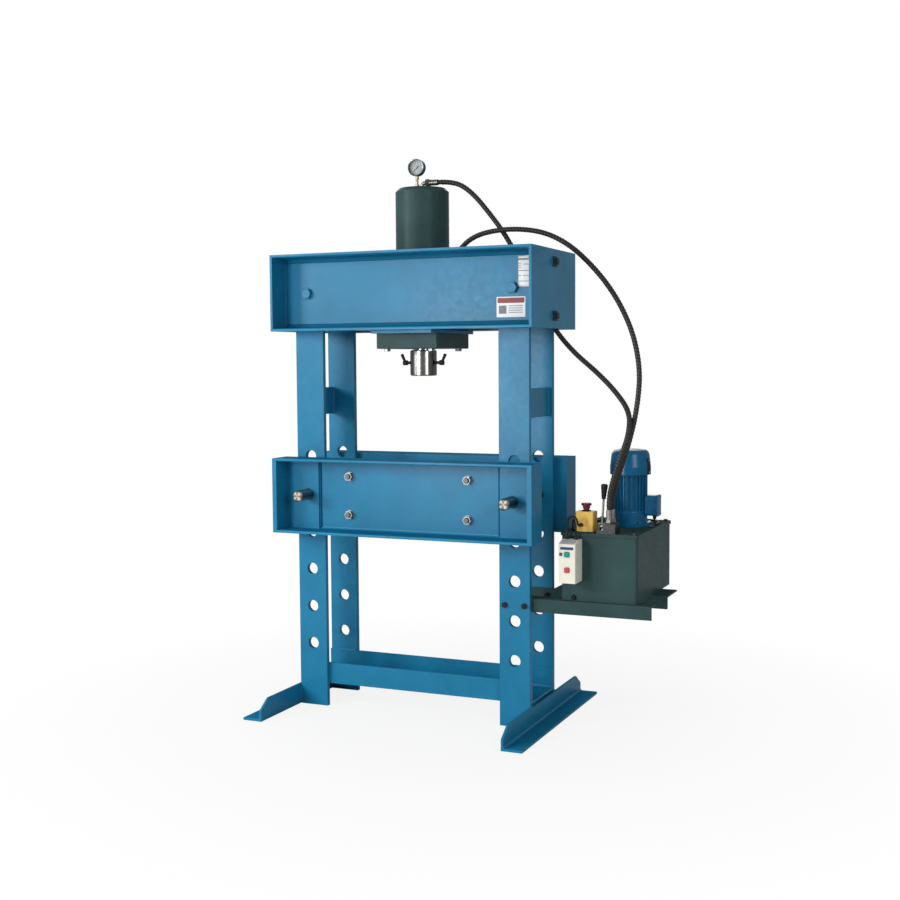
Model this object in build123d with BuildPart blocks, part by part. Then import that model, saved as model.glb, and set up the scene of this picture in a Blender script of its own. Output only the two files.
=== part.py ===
from build123d import *
from math import cos, pi, radians, sin, tan
import os

os.makedirs("parts", exist_ok=True)

# Driving dimensions in millimetres. X runs to the right, Y to the back, Z up from the floor.
# The origin lies on the floor under the middle of the press with its power unit.

# Columns and feet
upright_width = 122
upright_thickness = 20
upright_spread = 860
upright_gap = 240
upright_top_drop = 6
upright_edge = 1.5
foot_leg = 80
foot_thickness = 9
foot_length = 886
foot_chamfer_run = 57
foot_chamfer_drop = 39
foot_root = 8
cross_base = 88
cross_height = 83
cross_thickness = 8
cross_root = 8
spacer_base = 1158
spacer_height = 110
spacer_thickness = 8
spacer_inset = 17

# Head beam
head_base = 1491
head_height = 295
head_overhang = 110
head_end_thickness = 10
channel_depth = 110
channel_web = 10
channel_flange = 11
channel_root = 9
channel_toe = 5
head_bolt_diameter = 24
head_bolt_flats = 36
head_bolt_head = 15
head_nut_height = 19
end_bolt_diameter = 16
end_bolt_flats = 24
end_bolt_head = 10
end_bolt_spread = 201
end_washer_side = 38
end_washer_thickness = 6
bolt_clearance = 1
nut_clearance = 0.1
crown_angle = 60
bolt_stub = 6

# Table and its pins
table_height = 292
table_overhang = 110
table_clearance = 5
table_end_thickness = 18
pad_width = 139
pad_thickness = 10
pin_diameter = 44
pin_clearance = 1
pin_front_reach = 253
pin_rear_reach = 200
pin_chamfer = 5
pin_hole_first = 250
pin_hole_pitch = 150
pin_hole_count = 6
lower_hole_count = 4
tie_diameter = 20
tie_spread = 500
tie_rise = 150
tie_nut_flats = 30
tie_nut_height = 16
tie_stub = 5
tube_diameter = 34

# Cylinder and ram
barrel_diameter = 208
bore_diameter = 160
barrel_height = 578
barrel_cap = 28
barrel_rim = 14
barrel_seat = 18
barrel_clearance = 1
plate_width = 252
plate_depth = 410
plate_thickness = 13
block_width = 254
block_depth = 312
block_height = 58
block_edge = 3
flange_bolt_diameter = 16
flange_bolt_flats = 24
flange_bolt_head = 10
flange_bolt_x_spread = 186
flange_bolt_y_spread = 260
rod_diameter = 70
rod_clearance = 0.1
bush_diameter = 92
wiper_diameter = 86
wiper_height = 8
piston_height = 62
piston_clearance = 0.1
piston_top_gap = 6
piston_spigot = 45
seal_height = 10
seal_depth = 8
seal_clearance = 0.05
holder_diameter = 104
holder_height = 100
holder_gap = 5
holder_edge = 4
holder_spigot = 50
holder_spigot_depth = 22
socket_diameter = 50
socket_depth = 64
clamp_rise = 51
clamp_screw_diameter = 12
clamp_clearance = 0.3
clamp_screw_reach = 34
clamp_hub_diameter = 20
clamp_hub_length = 16
clamp_arm_rise = 34
clamp_arm_lean = 16
clamp_arm_diameter = 9
clamp_tip_diameter = 13
clamp_tip_round = 4

# Pressure gauge on the cap
gauge_x = -12
gauge_y = -21
gauge_rise = 79
gauge_diameter = 65
gauge_depth = 24
gauge_wall = 2.5
gauge_dial_thickness = 1
gauge_dial_seat = 14
gauge_lens_thickness = 2
gauge_lens_inset = 2
gauge_fit = 0.2
needle_gap = 2
needle_thickness = 1.2
needle_length = 24
needle_tail = 9
needle_width = 4
needle_hub = 7
needle_rest_angle = 225
needle_pin = 3
needle_pin_clearance = 0.1
stem_flats = 17
stem_hex_height = 15
stem_diameter = 11
stem_collar_flats = 14
stem_collar_height = 13

# Hoses and their fittings
hose_diameter = 19
ferrule_diameter = 23
ferrule_length = 36
fitting_flats = 27
fitting_hex = 14
fitting_stem = 16
cap_port_x = -12
cap_port_y = 30
cap_port_rise = 26
cap_port_reach = 16
side_port_y = -8
side_port_rise = 132
side_port_reach = 26
side_port_diameter = 18
side_port_depth = 8
side_port_fit = 0.1
side_port_bend_rise = 18

# Bracket angles of the power unit
bracket_reach = 455
bracket_top = 487
bracket_leg = 50
bracket_shelf_front = 60
bracket_shelf_rear = 149
bracket_thickness = 6
bracket_notch_gap = 6
bracket_bolt_diameter = 12
bracket_bolt_flats = 19
bracket_bolt_head = 8
bracket_nut_height = 10
bracket_bolt_spread = 78
bracket_bolt_drop = 26

# Tank and lid
tank_left = 600
tank_width = 289
tank_front = -100
tank_depth = 483
tank_height = 241
tank_wall = 4
tank_corner = 12
lid_thickness = 12
lid_overhang = 4
lid_bolt_inset = 19
lid_bolt_diameter = 8
lid_bolt_flats = 14
lid_bolt_head = 6
lid_bolt_depth = 10

# Motor and pump
motor_x = 782
motor_y = 185
motor_flange_diameter = 158
motor_flange_thickness = 15
motor_bell_height = 46
motor_body_diameter = 116
motor_fin_height = 7
motor_fin_thickness = 3.5
motor_fin_count = 26
motor_body_height = 141
motor_shield_height = 14
motor_bell_root = 6
rotor_diameter = 70
rotor_gap = 1
rotor_end_room = 14
shaft_diameter = 20
shaft_clearance = 0.05
shaft_top_rise = 252
fan_cover_diameter = 155
fan_cover_top_diameter = 140
fan_cover_height = 94
fan_cover_skirt = 30
fan_cover_wall = 2
fan_cover_overlap = 5
fan_cover_round = 22
fan_slot_count = 16
fan_slot_width = 5
fan_slot_inner = 22
fan_slot_outer = 50
lug_width = 14
lug_height = 12
lug_gap = 0.5
fan_diameter = 118
fan_hub_diameter = 40
fan_base_rise = 220
fan_height = 26
fan_blade_thickness = 3
fan_blade_count = 7
fan_plate = 4
terminal_width = 58
terminal_height = 81
terminal_depth = 40
terminal_cover = 8
terminal_overlap = 2
terminal_rise = 39
terminal_round = 8
pump_flange_diameter = 110
pump_flange_thickness = 16
pump_width = 84
pump_depth = 74
pump_height = 96
pump_shaft_depth = 46
lid_pump_hole = 60
suction_pipe_diameter = 22
suction_pipe_length = 40
strainer_diameter = 60
strainer_height = 66

# Lever valve
valve_left = 764
valve_width = 42
valve_front = -102
valve_depth = 62
valve_height = 40
valve_slab_width = 28
valve_slab_height = 12
valve_edge = 3
ear_thickness = 7
ear_gap = 12
ear_length = 22
ear_height = 24
lever_pivot_y = -80
lever_pivot_rise = 26
lever_eye_diameter = 18
lever_side_gap = 0.5
lever_pin_diameter = 8
lever_pin_clearance = 0.1
lever_rod_diameter = 8
lever_rod_length = 110
lever_lean = 3.5
knob_length = 56
knob_top_diameter = 27
knob_waist_diameter = 15
knob_grip = 10
knob_round = 8
port_a_x = 780
port_a_y = -90
port_b_x = 784
port_b_y = -64
valve_fitting_flats = 24
valve_fitting_hex = 14
valve_ferrule_diameter = 22
valve_ferrule_length = 34

# Emergency stop and starter
estop_left = 642
estop_width = 68
estop_front = -62
estop_depth = 57
estop_height = 74
estop_round = 5
estop_stem_diameter = 21
estop_stem_clearance = 0.4
estop_stem_depth = 14
estop_neck_diameter = 27
estop_neck_height = 12
estop_neck_gap = 9
estop_cap_diameter = 38
estop_cap_height = 9
estop_cap_round = 4
starter_left = 615
starter_width = 65
starter_depth = 78
starter_base = 563
starter_front_height = 143
starter_rear_height = 155
starter_ledge = 42
starter_round = 4
button_side = 20
button_corner = 5
button_clearance = 0.4
button_well = 12
button_proud = 4
button_edge = 1.2
start_height = 669
stop_height = 612
lead_diameter = 7
gland_diameter = 15
gland_length = 12

# A spare length for cuts that run right through
overrun = 20

# Places that follow from the driving dimensions
column_x = upright_spread / 2
head_length = upright_spread + 2 * head_overhang
table_length = upright_spread + 2 * table_overhang
outer_x = column_x + upright_width / 2
inner_y = upright_gap / 2
outer_y = inner_y + upright_thickness
head_top = head_base + head_height
head_middle = head_base + head_height / 2
upright_height = head_top - upright_top_drop
left_reach = outer_x + foot_leg
right_reach = outer_x + bracket_reach
ram_x = (left_reach - right_reach) / 2
pin_height = pin_hole_first + lower_hole_count * pin_hole_pitch
pin_hole = pin_diameter + 2 * pin_clearance
table_web_y = outer_y + table_clearance
plate_base = head_base - plate_thickness
block_base = plate_base - block_height
barrel_base = plate_base - barrel_seat
barrel_top = barrel_base + barrel_height
bore_top = barrel_top - barrel_cap
holder_top = block_base - holder_gap
holder_base = holder_top - holder_height
lid_base = bracket_top + tank_height
lid_top = lid_base + lid_thickness
bracket_bolt_height = bracket_top - bracket_bolt_drop


def across(x):
    """A plane across the press at x from the ram, seen from the right."""
    return Plane.YZ.offset(ram_x + x)


def facing(y):
    """A plane at depth y that faces the front of the press."""
    return Plane.XZ.offset(-y)


def level(z):
    """A level plane at height z."""
    return Plane.XY.offset(z)


def looking(x, y, z, direction):
    """A plane at a point, measured from the ram, whose normal is the given direction."""
    sideways = (0, 1, 0) if direction[0] else (1, 0, 0)
    return Plane(origin=(ram_x + x, y, z), x_dir=sideways, z_dir=direction)


def save(piece, name):
    """Label a finished piece and write its file."""
    piece.label = name
    export_step(piece, f"parts/{name}.step")


def hex_bolt(plane, flats, head, diameter, length):
    """A hexagon bolt whose head stands on the plane and whose shank runs behind it."""
    with BuildPart() as bolt:
        with BuildSketch(plane):
            RegularPolygon(flats / 2, 6, major_radius=False)
        extrude(amount=head)
        with BuildSketch(plane.offset(head)):
            Circle(flats / 2)
        extrude(amount=-head, taper=-crown_angle, mode=Mode.INTERSECT)
        with BuildSketch(plane):
            Circle(diameter / 2)
        extrude(amount=-length)
    return bolt.part


def hex_nut(plane, flats, height, bore):
    """A hexagon nut that stands on the plane."""
    with BuildPart() as nut:
        with BuildSketch(plane):
            RegularPolygon(flats / 2, 6, major_radius=False)
            Circle(bore / 2, mode=Mode.SUBTRACT)
        extrude(amount=height)
    return nut.part


def disc(plane, diameter, height):
    """A plain round piece that stands on the plane."""
    with BuildPart() as round_piece:
        with BuildSketch(plane):
            Circle(diameter / 2)
        extrude(amount=height)
    return round_piece.part


def group(pieces, name):
    """Write separate pieces of one kind as one node."""
    with BuildPart() as gathered:
        add(pieces)
    save(gathered.part, name)


# Feet: angles that run front to back outside the columns, with the upright leg cut back at both ends
for side, name in ((-1, "left_foot"), (1, "right_foot")):
    leg_x = outer_x if side > 0 else -outer_x - foot_thickness
    flange_x = side * (outer_x + foot_leg / 2)
    with BuildPart() as foot:
        with BuildSketch(across(leg_x)):
            with BuildLine():
                Polyline(
                    (-foot_length / 2, 0),
                    (foot_length / 2, 0),
                    (foot_length / 2, foot_leg - foot_chamfer_drop),
                    (foot_length / 2 - foot_chamfer_run, foot_leg),
                    (-foot_length / 2 + foot_chamfer_run, foot_leg),
                    (-foot_length / 2, foot_leg - foot_chamfer_drop),
                    close=True,
                )
            make_face()
        extrude(amount=foot_thickness)
        with BuildSketch(level(0)):
            with Locations((ram_x + flange_x, 0)):
                Rectangle(foot_leg, foot_length)
        extrude(amount=foot_thickness)
        root = foot.edges().filter_by(Axis.Y).group_by(Axis.Z)[1].sort_by(Axis.X)
        fillet(root[0] if side > 0 else root[-1], foot_root)
    save(foot.part, name)

# Uprights: flat bars with the row of pin holes, the head bolt hole and, at the right, the bracket holes
pin_heights = [pin_hole_first + step * pin_hole_pitch for step in range(pin_hole_count)]
bracket_bolt_xs = [column_x + half * bracket_bolt_spread / 2 for half in (-1, 1)]
for side, side_name in ((-1, "left"), (1, "right")):
    for row, row_name in ((-1, "front"), (1, "rear")):
        with BuildPart() as upright:
            with BuildSketch(facing(-outer_y if row < 0 else inner_y)):
                with Locations((ram_x + side * column_x, upright_height / 2)):
                    Rectangle(upright_width, upright_height)
                with Locations([(ram_x + side * column_x, height) for height in pin_heights]):
                    Circle(pin_hole / 2, mode=Mode.SUBTRACT)
                with Locations((ram_x + side * column_x, head_middle)):
                    Circle(head_bolt_diameter / 2 + bolt_clearance, mode=Mode.SUBTRACT)
                if side > 0:
                    with Locations([(ram_x + x, bracket_bolt_height) for x in bracket_bolt_xs]):
                        Circle(bracket_bolt_diameter / 2 + bolt_clearance, mode=Mode.SUBTRACT)
            extrude(amount=-upright_thickness)
            chamfer(upright.edges().filter_by(Axis.Z), upright_edge)
        save(upright.part, f"{row_name}_{side_name}_upright")

# Cross channel: an upturned trough between the uprights near the floor
with BuildPart() as cross_channel:
    with BuildSketch(across(-outer_x)) as trough:
        with Locations((0, cross_base + cross_height / 2)):
            Rectangle(upright_gap, cross_height)
        with Locations((0, cross_base + cross_thickness + cross_height / 2)):
            Rectangle(upright_gap - 2 * cross_thickness, cross_height, mode=Mode.SUBTRACT)
        fillet(trough.vertices().group_by(Axis.Y)[1], cross_root)
    extrude(amount=2 * outer_x)
save(cross_channel.part, "cross_channel")

# Spacer plates: one between the two uprights of each column
spacer_x = outer_x - spacer_inset - spacer_thickness / 2
with BuildPart() as spacers:
    with Locations([(ram_x + side * spacer_x, 0, spacer_base) for side in (-1, 1)]):
        Box(spacer_thickness, upright_gap, spacer_height, align=(Align.CENTER, Align.CENTER, Align.MIN))
save(spacers.part, "column_spacer_plates")

# Head channels: webs against the uprights, flanges outward
web_middle = outer_y + channel_web / 2
head_channel_length = head_length - 2 * head_end_thickness
for row, name in ((-1, "front_head_channel"), (1, "rear_head_channel")):
    with BuildPart() as head_channel:
        with BuildSketch(across(-head_channel_length / 2)) as section:
            with Locations((row * (outer_y + channel_depth / 2), head_middle)):
                Rectangle(channel_depth, head_height)
            with Locations((row * (outer_y + channel_web + channel_depth / 2), head_middle)):
                Rectangle(channel_depth, head_height - 2 * channel_flange, mode=Mode.SUBTRACT)
            fillet(section.vertices().group_by(Axis.X)[1], channel_root)
            toes = section.vertices().sort_by(Axis.X, reverse=row > 0)[:4].sort_by(Axis.Y)
            fillet(toes[1:3], channel_toe)
        extrude(amount=head_channel_length)
        with BuildSketch(facing(row * web_middle)):
            with Locations([(ram_x + side * column_x, head_middle) for side in (-1, 1)]):
                Circle(head_bolt_diameter / 2 + bolt_clearance)
        extrude(amount=channel_web, both=True, mode=Mode.SUBTRACT)
    save(head_channel.part, name)

# End plates of the head, with holes for their two bolts
head_depth = 2 * (outer_y + channel_depth)
end_bolt_heights = [head_middle + half * end_bolt_spread / 2 for half in (-1, 1)]
with BuildPart() as end_plates:
    for side in (-1, 1):
        with BuildSketch(across(side * (head_length - head_end_thickness) / 2)):
            with Locations((0, head_middle)):
                Rectangle(head_depth, head_height)
            with Locations([(0, height) for height in end_bolt_heights]):
                Circle(end_bolt_diameter / 2 + bolt_clearance, mode=Mode.SUBTRACT)
        extrude(amount=head_end_thickness / 2, both=True)
save(end_plates.part, "head_end_plates")

# Head bolts: one through each upright, with its nut inside the column
head_bolts = []
head_bolt_grip = channel_web + upright_thickness
for side in (-1, 1):
    for row in (-1, 1):
        outside = looking(side * column_x, row * (outer_y + channel_web), head_middle, (0, row, 0))
        inside = looking(side * column_x, row * inner_y, head_middle, (0, -row, 0))
        bolt_length = head_bolt_grip + head_nut_height + bolt_stub
        head_bolts.append(hex_bolt(outside, head_bolt_flats, head_bolt_head, head_bolt_diameter, bolt_length))
        head_bolts.append(
            hex_nut(inside, head_bolt_flats, head_nut_height, head_bolt_diameter + 2 * nut_clearance)
        )
group(head_bolts, "head_bolts")

# End bolts: dark bolts on square washers, nuts behind the plate
end_bolts = []
for side in (-1, 1):
    for height in end_bolt_heights:
        washer_face = side * (head_length / 2 + end_washer_thickness)
        bolt_length = end_washer_thickness + head_end_thickness + end_bolt_head + bolt_stub
        outside = looking(washer_face, 0, height, (side, 0, 0))
        inside = looking(side * (head_length / 2 - head_end_thickness), 0, height, (-side, 0, 0))
        with BuildPart() as washer:
            with BuildSketch(looking(side * head_length / 2, 0, height, (side, 0, 0))):
                Rectangle(end_washer_side, end_washer_side)
                Circle(end_bolt_diameter / 2 + nut_clearance, mode=Mode.SUBTRACT)
            extrude(amount=end_washer_thickness - nut_clearance)
        end_bolts.append(washer.part)
        end_bolts.append(hex_bolt(outside, end_bolt_flats, end_bolt_head, end_bolt_diameter, bolt_length))
        end_bolts.append(
            hex_nut(inside, end_bolt_flats, end_bolt_head, end_bolt_diameter + 2 * nut_clearance)
        )
group(end_bolts, "head_end_bolts")

# Cylinder mount plate under the beam
with BuildPart() as mount_plate:
    with BuildSketch(level(plate_base)):
        with Locations((ram_x, 0)):
            Rectangle(plate_width, plate_depth)
            Circle(barrel_diameter / 2 + barrel_clearance, mode=Mode.SUBTRACT)
            with GridLocations(flange_bolt_x_spread, flange_bolt_y_spread, 2, 2):
                Circle(flange_bolt_diameter / 2 + nut_clearance, mode=Mode.SUBTRACT)
    extrude(amount=plate_thickness)
save(mount_plate.part, "cylinder_mount_plate")

# Flange block: carries the barrel in a counterbore and the rod bush below it
with BuildPart() as flange_block:
    with BuildSketch(level(block_base)) as block_outline:
        with Locations((ram_x, 0)):
            Rectangle(block_width, block_depth)
        chamfer(block_outline.vertices(), block_edge)
    extrude(amount=block_height)
    chamfer(flange_block.faces().sort_by(Axis.Z)[0].edges(), block_edge)
    with BuildSketch(level(block_base)):
        with Locations((ram_x, 0)):
            Circle(bush_diameter / 2)
            with GridLocations(flange_bolt_x_spread, flange_bolt_y_spread, 2, 2):
                Circle(flange_bolt_diameter / 2 + bolt_clearance)
    extrude(amount=block_height, mode=Mode.SUBTRACT)
    with BuildSketch(level(barrel_base)):
        with Locations((ram_x, 0)):
            Circle(barrel_diameter / 2)
    extrude(amount=barrel_seat, mode=Mode.SUBTRACT)
save(flange_block.part, "cylinder_flange_block")

# Flange bolts: up through the block into the tapped plate
bolt_length = block_height + plate_thickness - bolt_clearance
flange_bolts = [
    hex_bolt(
        looking(half_x * flange_bolt_x_spread / 2, half_y * flange_bolt_y_spread / 2, block_base, (0, 0, -1)),
        flange_bolt_flats,
        flange_bolt_head,
        flange_bolt_diameter,
        bolt_length,
    )
    for half_x in (-1, 1)
    for half_y in (-1, 1)
]
group(flange_bolts, "flange_bolts")

# Barrel with its closed top and two ports in the cap and one in the side
side_port_height = barrel_base + side_port_rise
with BuildPart() as barrel:
    with BuildSketch(level(barrel_base)):
        with Locations((ram_x, 0)):
            Circle(barrel_diameter / 2)
    extrude(amount=barrel_height)
    chamfer(barrel.faces().sort_by(Axis.Z)[-1].edges(), barrel_rim)
    with BuildSketch(level(barrel_base)):
        with Locations((ram_x, 0)):
            Circle(bore_diameter / 2)
    extrude(amount=bore_top - barrel_base, mode=Mode.SUBTRACT)
    with BuildSketch(across(barrel_diameter / 2 - side_port_depth)):
        with Locations((side_port_y, side_port_height)):
            Circle(side_port_diameter / 2 + side_port_fit)
    extrude(amount=side_port_depth + overrun, mode=Mode.SUBTRACT)
save(barrel.part, "cylinder_barrel")

# Rod bush in the block, and the wiper ring below it
bush_base = block_base + wiper_height
with BuildPart() as rod_bush:
    with BuildSketch(level(bush_base)):
        with Locations((ram_x, 0)):
            Circle(bush_diameter / 2)
            Circle(rod_diameter / 2 + rod_clearance, mode=Mode.SUBTRACT)
    extrude(amount=barrel_base - bush_base)
save(rod_bush.part, "rod_bush")

with BuildPart() as rod_wiper:
    with BuildSketch(level(block_base)):
        with Locations((ram_x, 0)):
            Circle(bush_diameter / 2)
            Circle(rod_diameter / 2 + rod_clearance, mode=Mode.SUBTRACT)
    extrude(amount=wiper_height)
    wiper_mouth = rod_wiper.faces().sort_by(Axis.Z)[0].inner_wires()[0]
    chamfer(wiper_mouth.edges(), (bush_diameter - wiper_diameter) / 2)
save(rod_wiper.part, "rod_wiper")

# Piston with its seal groove, the seal, and the rod that carries both
piston_top = bore_top - piston_top_gap
piston_base = piston_top - piston_height
groove_base = piston_base + (piston_height - seal_height) / 2
with BuildPart() as piston:
    with BuildSketch(level(piston_base)):
        with Locations((ram_x, 0)):
            Circle(bore_diameter / 2 - piston_clearance)
            Circle(piston_spigot / 2, mode=Mode.SUBTRACT)
    extrude(amount=piston_height)
    with BuildSketch(level(groove_base)):
        with Locations((ram_x, 0)):
            Circle(bore_diameter / 2)
            Circle(bore_diameter / 2 - seal_depth, mode=Mode.SUBTRACT)
    extrude(amount=seal_height, mode=Mode.SUBTRACT)
save(piston.part, "piston")

with BuildPart() as piston_seal:
    with BuildSketch(level(groove_base)):
        with Locations((ram_x, 0)):
            Circle(bore_diameter / 2 - seal_clearance)
            Circle(bore_diameter / 2 - seal_depth, mode=Mode.SUBTRACT)
    extrude(amount=seal_height)
save(piston_seal.part, "piston_seal")

rod_base = holder_top - holder_spigot_depth
with BuildPart() as piston_rod:
    with BuildSketch(level(holder_top)):
        with Locations((ram_x, 0)):
            Circle(rod_diameter / 2)
    extrude(amount=piston_base - holder_top)
    with BuildSketch(level(rod_base)):
        with Locations((ram_x, 0)):
            Circle(holder_spigot / 2)
    extrude(amount=holder_spigot_depth)
    with BuildSketch(level(piston_base)):
        with Locations((ram_x, 0)):
            Circle(piston_spigot / 2)
    extrude(amount=piston_height)
save(piston_rod.part, "piston_rod")

# Tool holder on the rod end: a tool socket below and a tapped hole at each side for the clamp levers
clamp_height = holder_base + clamp_rise
with BuildPart() as tool_holder:
    with BuildSketch(level(holder_base)):
        with Locations((ram_x, 0)):
            Circle(holder_diameter / 2)
    extrude(amount=holder_height)
    chamfer(tool_holder.edges().filter_by(GeomType.CIRCLE), holder_edge)
    with BuildSketch(level(holder_base)):
        with Locations((ram_x, 0)):
            Circle(socket_diameter / 2)
    extrude(amount=socket_depth, mode=Mode.SUBTRACT)
    with BuildSketch(level(rod_base)):
        with Locations((ram_x, 0)):
            Circle(holder_spigot / 2)
    extrude(amount=holder_spigot_depth, mode=Mode.SUBTRACT)
    with BuildSketch(across(0)):
        with Locations((0, clamp_height)):
            Circle(clamp_screw_diameter / 2 + clamp_clearance)
    extrude(amount=holder_diameter, both=True, mode=Mode.SUBTRACT)
save(tool_holder.part, "ram_tool_holder")

# Clamp levers: a screw into the holder, a hub, and a bent arm that leans outward
screw_inner = socket_diameter / 2
screw_outer = holder_diameter / 2 + clamp_screw_reach
for side, name in ((-1, "left_clamp_lever"), (1, "right_clamp_lever")):
    with BuildPart() as clamp_lever:
        with BuildSketch(looking(side * screw_inner, 0, clamp_height, (side, 0, 0))):
            Circle(clamp_screw_diameter / 2)
        extrude(amount=screw_outer - screw_inner)
        with BuildSketch(looking(side * (screw_outer - clamp_hub_length), 0, clamp_height, (side, 0, 0))):
            Circle(clamp_hub_diameter / 2)
        extrude(amount=clamp_hub_length)
        hub_middle = screw_outer - clamp_hub_length / 2
        lean = (side * clamp_arm_lean, 0, clamp_arm_rise)
        with BuildSketch(looking(side * hub_middle, 0, clamp_height, lean)):
            Circle(clamp_arm_diameter / 2)
        with BuildSketch(
            looking(side * (hub_middle + clamp_arm_lean), 0, clamp_height + clamp_arm_rise, lean)
        ):
            Circle(clamp_tip_diameter / 2)
        loft()
        tip = clamp_lever.faces().sort_by(Axis.Z)[-1]
        fillet(tip.edges(), clamp_tip_round)
    save(clamp_lever.part, name)

# Pressure gauge: a round case on a stem, with dial, needle on a pin, and lens
gauge_height = barrel_top + gauge_rise
gauge_front = gauge_y - gauge_depth / 2
gauge_rear = gauge_y + gauge_depth / 2
dial_y = gauge_front + gauge_dial_seat
needle_y = dial_y - gauge_dial_thickness - needle_gap
with BuildPart() as gauge_case:
    with BuildSketch(looking(gauge_x, gauge_rear, gauge_height, (0, -1, 0))):
        Circle(gauge_diameter / 2)
    extrude(amount=gauge_depth)
    fillet(gauge_case.edges().filter_by(GeomType.CIRCLE), gauge_wall / 2)
    with BuildSketch(looking(gauge_x, gauge_front, gauge_height, (0, 1, 0))):
        Circle(gauge_diameter / 2 - gauge_wall)
    extrude(amount=gauge_dial_seat, mode=Mode.SUBTRACT)
save(gauge_case.part, "gauge_case")

with BuildPart() as gauge_dial:
    with BuildSketch(looking(gauge_x, dial_y, gauge_height, (0, -1, 0))):
        Circle(gauge_diameter / 2 - gauge_wall - gauge_fit)
    extrude(amount=gauge_dial_thickness)
    with BuildSketch(looking(gauge_x, dial_y, gauge_height, (0, -1, 0))):
        Circle(needle_pin / 2)
    extrude(amount=gauge_dial_thickness + needle_gap + needle_thickness)
save(gauge_dial.part, "gauge_dial")

with BuildPart() as gauge_needle:
    with BuildSketch(looking(gauge_x, needle_y, gauge_height, (0, -1, 0))):
        Polygon(
            (-needle_tail, -needle_width / 2),
            (needle_length, 0),
            (-needle_tail, needle_width / 2),
            rotation=needle_rest_angle,
            align=None,
        )
        Circle(needle_hub / 2)
        Circle(needle_pin / 2 + needle_pin_clearance, mode=Mode.SUBTRACT)
    extrude(amount=needle_thickness)
save(gauge_needle.part, "gauge_needle")

with BuildPart() as gauge_lens:
    with BuildSketch(looking(gauge_x, gauge_front + gauge_lens_inset, gauge_height, (0, 1, 0))):
        Circle(gauge_diameter / 2 - gauge_wall - gauge_fit)
    extrude(amount=gauge_lens_thickness)
save(gauge_lens.part, "gauge_lens")

case_bottom = gauge_height - gauge_diameter / 2
with BuildPart() as gauge_stem:
    with BuildSketch(looking(gauge_x, gauge_y, barrel_top, (0, 0, 1))):
        RegularPolygon(stem_flats / 2, 6, major_radius=False)
    extrude(amount=stem_hex_height)
    with BuildSketch(looking(gauge_x, gauge_y, barrel_top, (0, 0, 1))):
        Circle(stem_diameter / 2)
    extrude(amount=case_bottom - barrel_top)
    with BuildSketch(looking(gauge_x, gauge_y, case_bottom, (0, 0, -1))):
        RegularPolygon(stem_collar_flats / 2, 6, major_radius=False)
    extrude(amount=stem_collar_height)
save(gauge_stem.part, "gauge_stem")

# Hose fittings: an elbow on the cap, an elbow in the barrel's side, and two straight ends on the valve
cap_hose_x = cap_port_x + cap_port_reach + fitting_hex + ferrule_length
cap_hose_height = barrel_top + cap_port_rise
with BuildPart() as cap_elbow:
    with BuildSketch(looking(cap_port_x, cap_port_y, barrel_top, (0, 0, 1))):
        RegularPolygon(fitting_flats / 2, 6, major_radius=False)
    extrude(amount=fitting_hex)
    with BuildLine() as bend:
        FilletPolyline(
            (ram_x + cap_port_x, cap_port_y, barrel_top),
            (ram_x + cap_port_x, cap_port_y, cap_hose_height),
            (ram_x + cap_port_x + cap_port_reach, cap_port_y, cap_hose_height),
            radius=fitting_stem / 2 + bolt_clearance,
        )
    with BuildSketch(bend.line ^ 0):
        Circle(fitting_stem / 2)
    sweep()
    with BuildSketch(looking(cap_port_x + cap_port_reach, cap_port_y, cap_hose_height, (1, 0, 0))):
        RegularPolygon(fitting_flats / 2, 6, major_radius=False)
    extrude(amount=fitting_hex)
    with BuildSketch(looking(cap_port_x + cap_port_reach, cap_port_y, cap_hose_height, (1, 0, 0))):
        Circle(ferrule_diameter / 2)
    extrude(amount=fitting_hex + ferrule_length)

side_hose_x = barrel_diameter / 2 + side_port_reach
side_nut_height = side_port_height + side_port_bend_rise
side_hose_height = side_nut_height + fitting_hex + ferrule_length
with BuildPart() as side_elbow:
    with BuildLine() as bend:
        FilletPolyline(
            (ram_x + barrel_diameter / 2 - side_port_depth, side_port_y, side_port_height),
            (ram_x + side_hose_x, side_port_y, side_port_height),
            (ram_x + side_hose_x, side_port_y, side_nut_height),
            radius=side_port_diameter / 2 + bolt_clearance,
        )
    with BuildSketch(bend.line ^ 0):
        Circle(side_port_diameter / 2)
    sweep()
    with BuildSketch(looking(side_hose_x, side_port_y, side_nut_height, (0, 0, 1))):
        RegularPolygon(fitting_flats / 2, 6, major_radius=False)
    extrude(amount=fitting_hex)
    with BuildSketch(looking(side_hose_x, side_port_y, side_nut_height, (0, 0, 1))):
        Circle(ferrule_diameter / 2)
    extrude(amount=fitting_hex + ferrule_length)

valve_top = lid_top + valve_height
valve_hose_height = valve_top + valve_fitting_hex + valve_ferrule_length
valve_ends = []
for port_x, port_y in ((port_a_x, port_a_y), (port_b_x, port_b_y)):
    with BuildPart() as valve_end:
        with BuildSketch(looking(port_x, port_y, valve_top, (0, 0, 1))):
            RegularPolygon(valve_fitting_flats / 2, 6, major_radius=False)
        extrude(amount=valve_fitting_hex)
        with BuildSketch(looking(port_x, port_y, valve_top, (0, 0, 1))):
            Circle(valve_ferrule_diameter / 2)
        extrude(amount=valve_fitting_hex + valve_ferrule_length)
    valve_ends.append(valve_end.part)
group([cap_elbow.part, side_elbow.part] + valve_ends, "hose_fittings")

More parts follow.
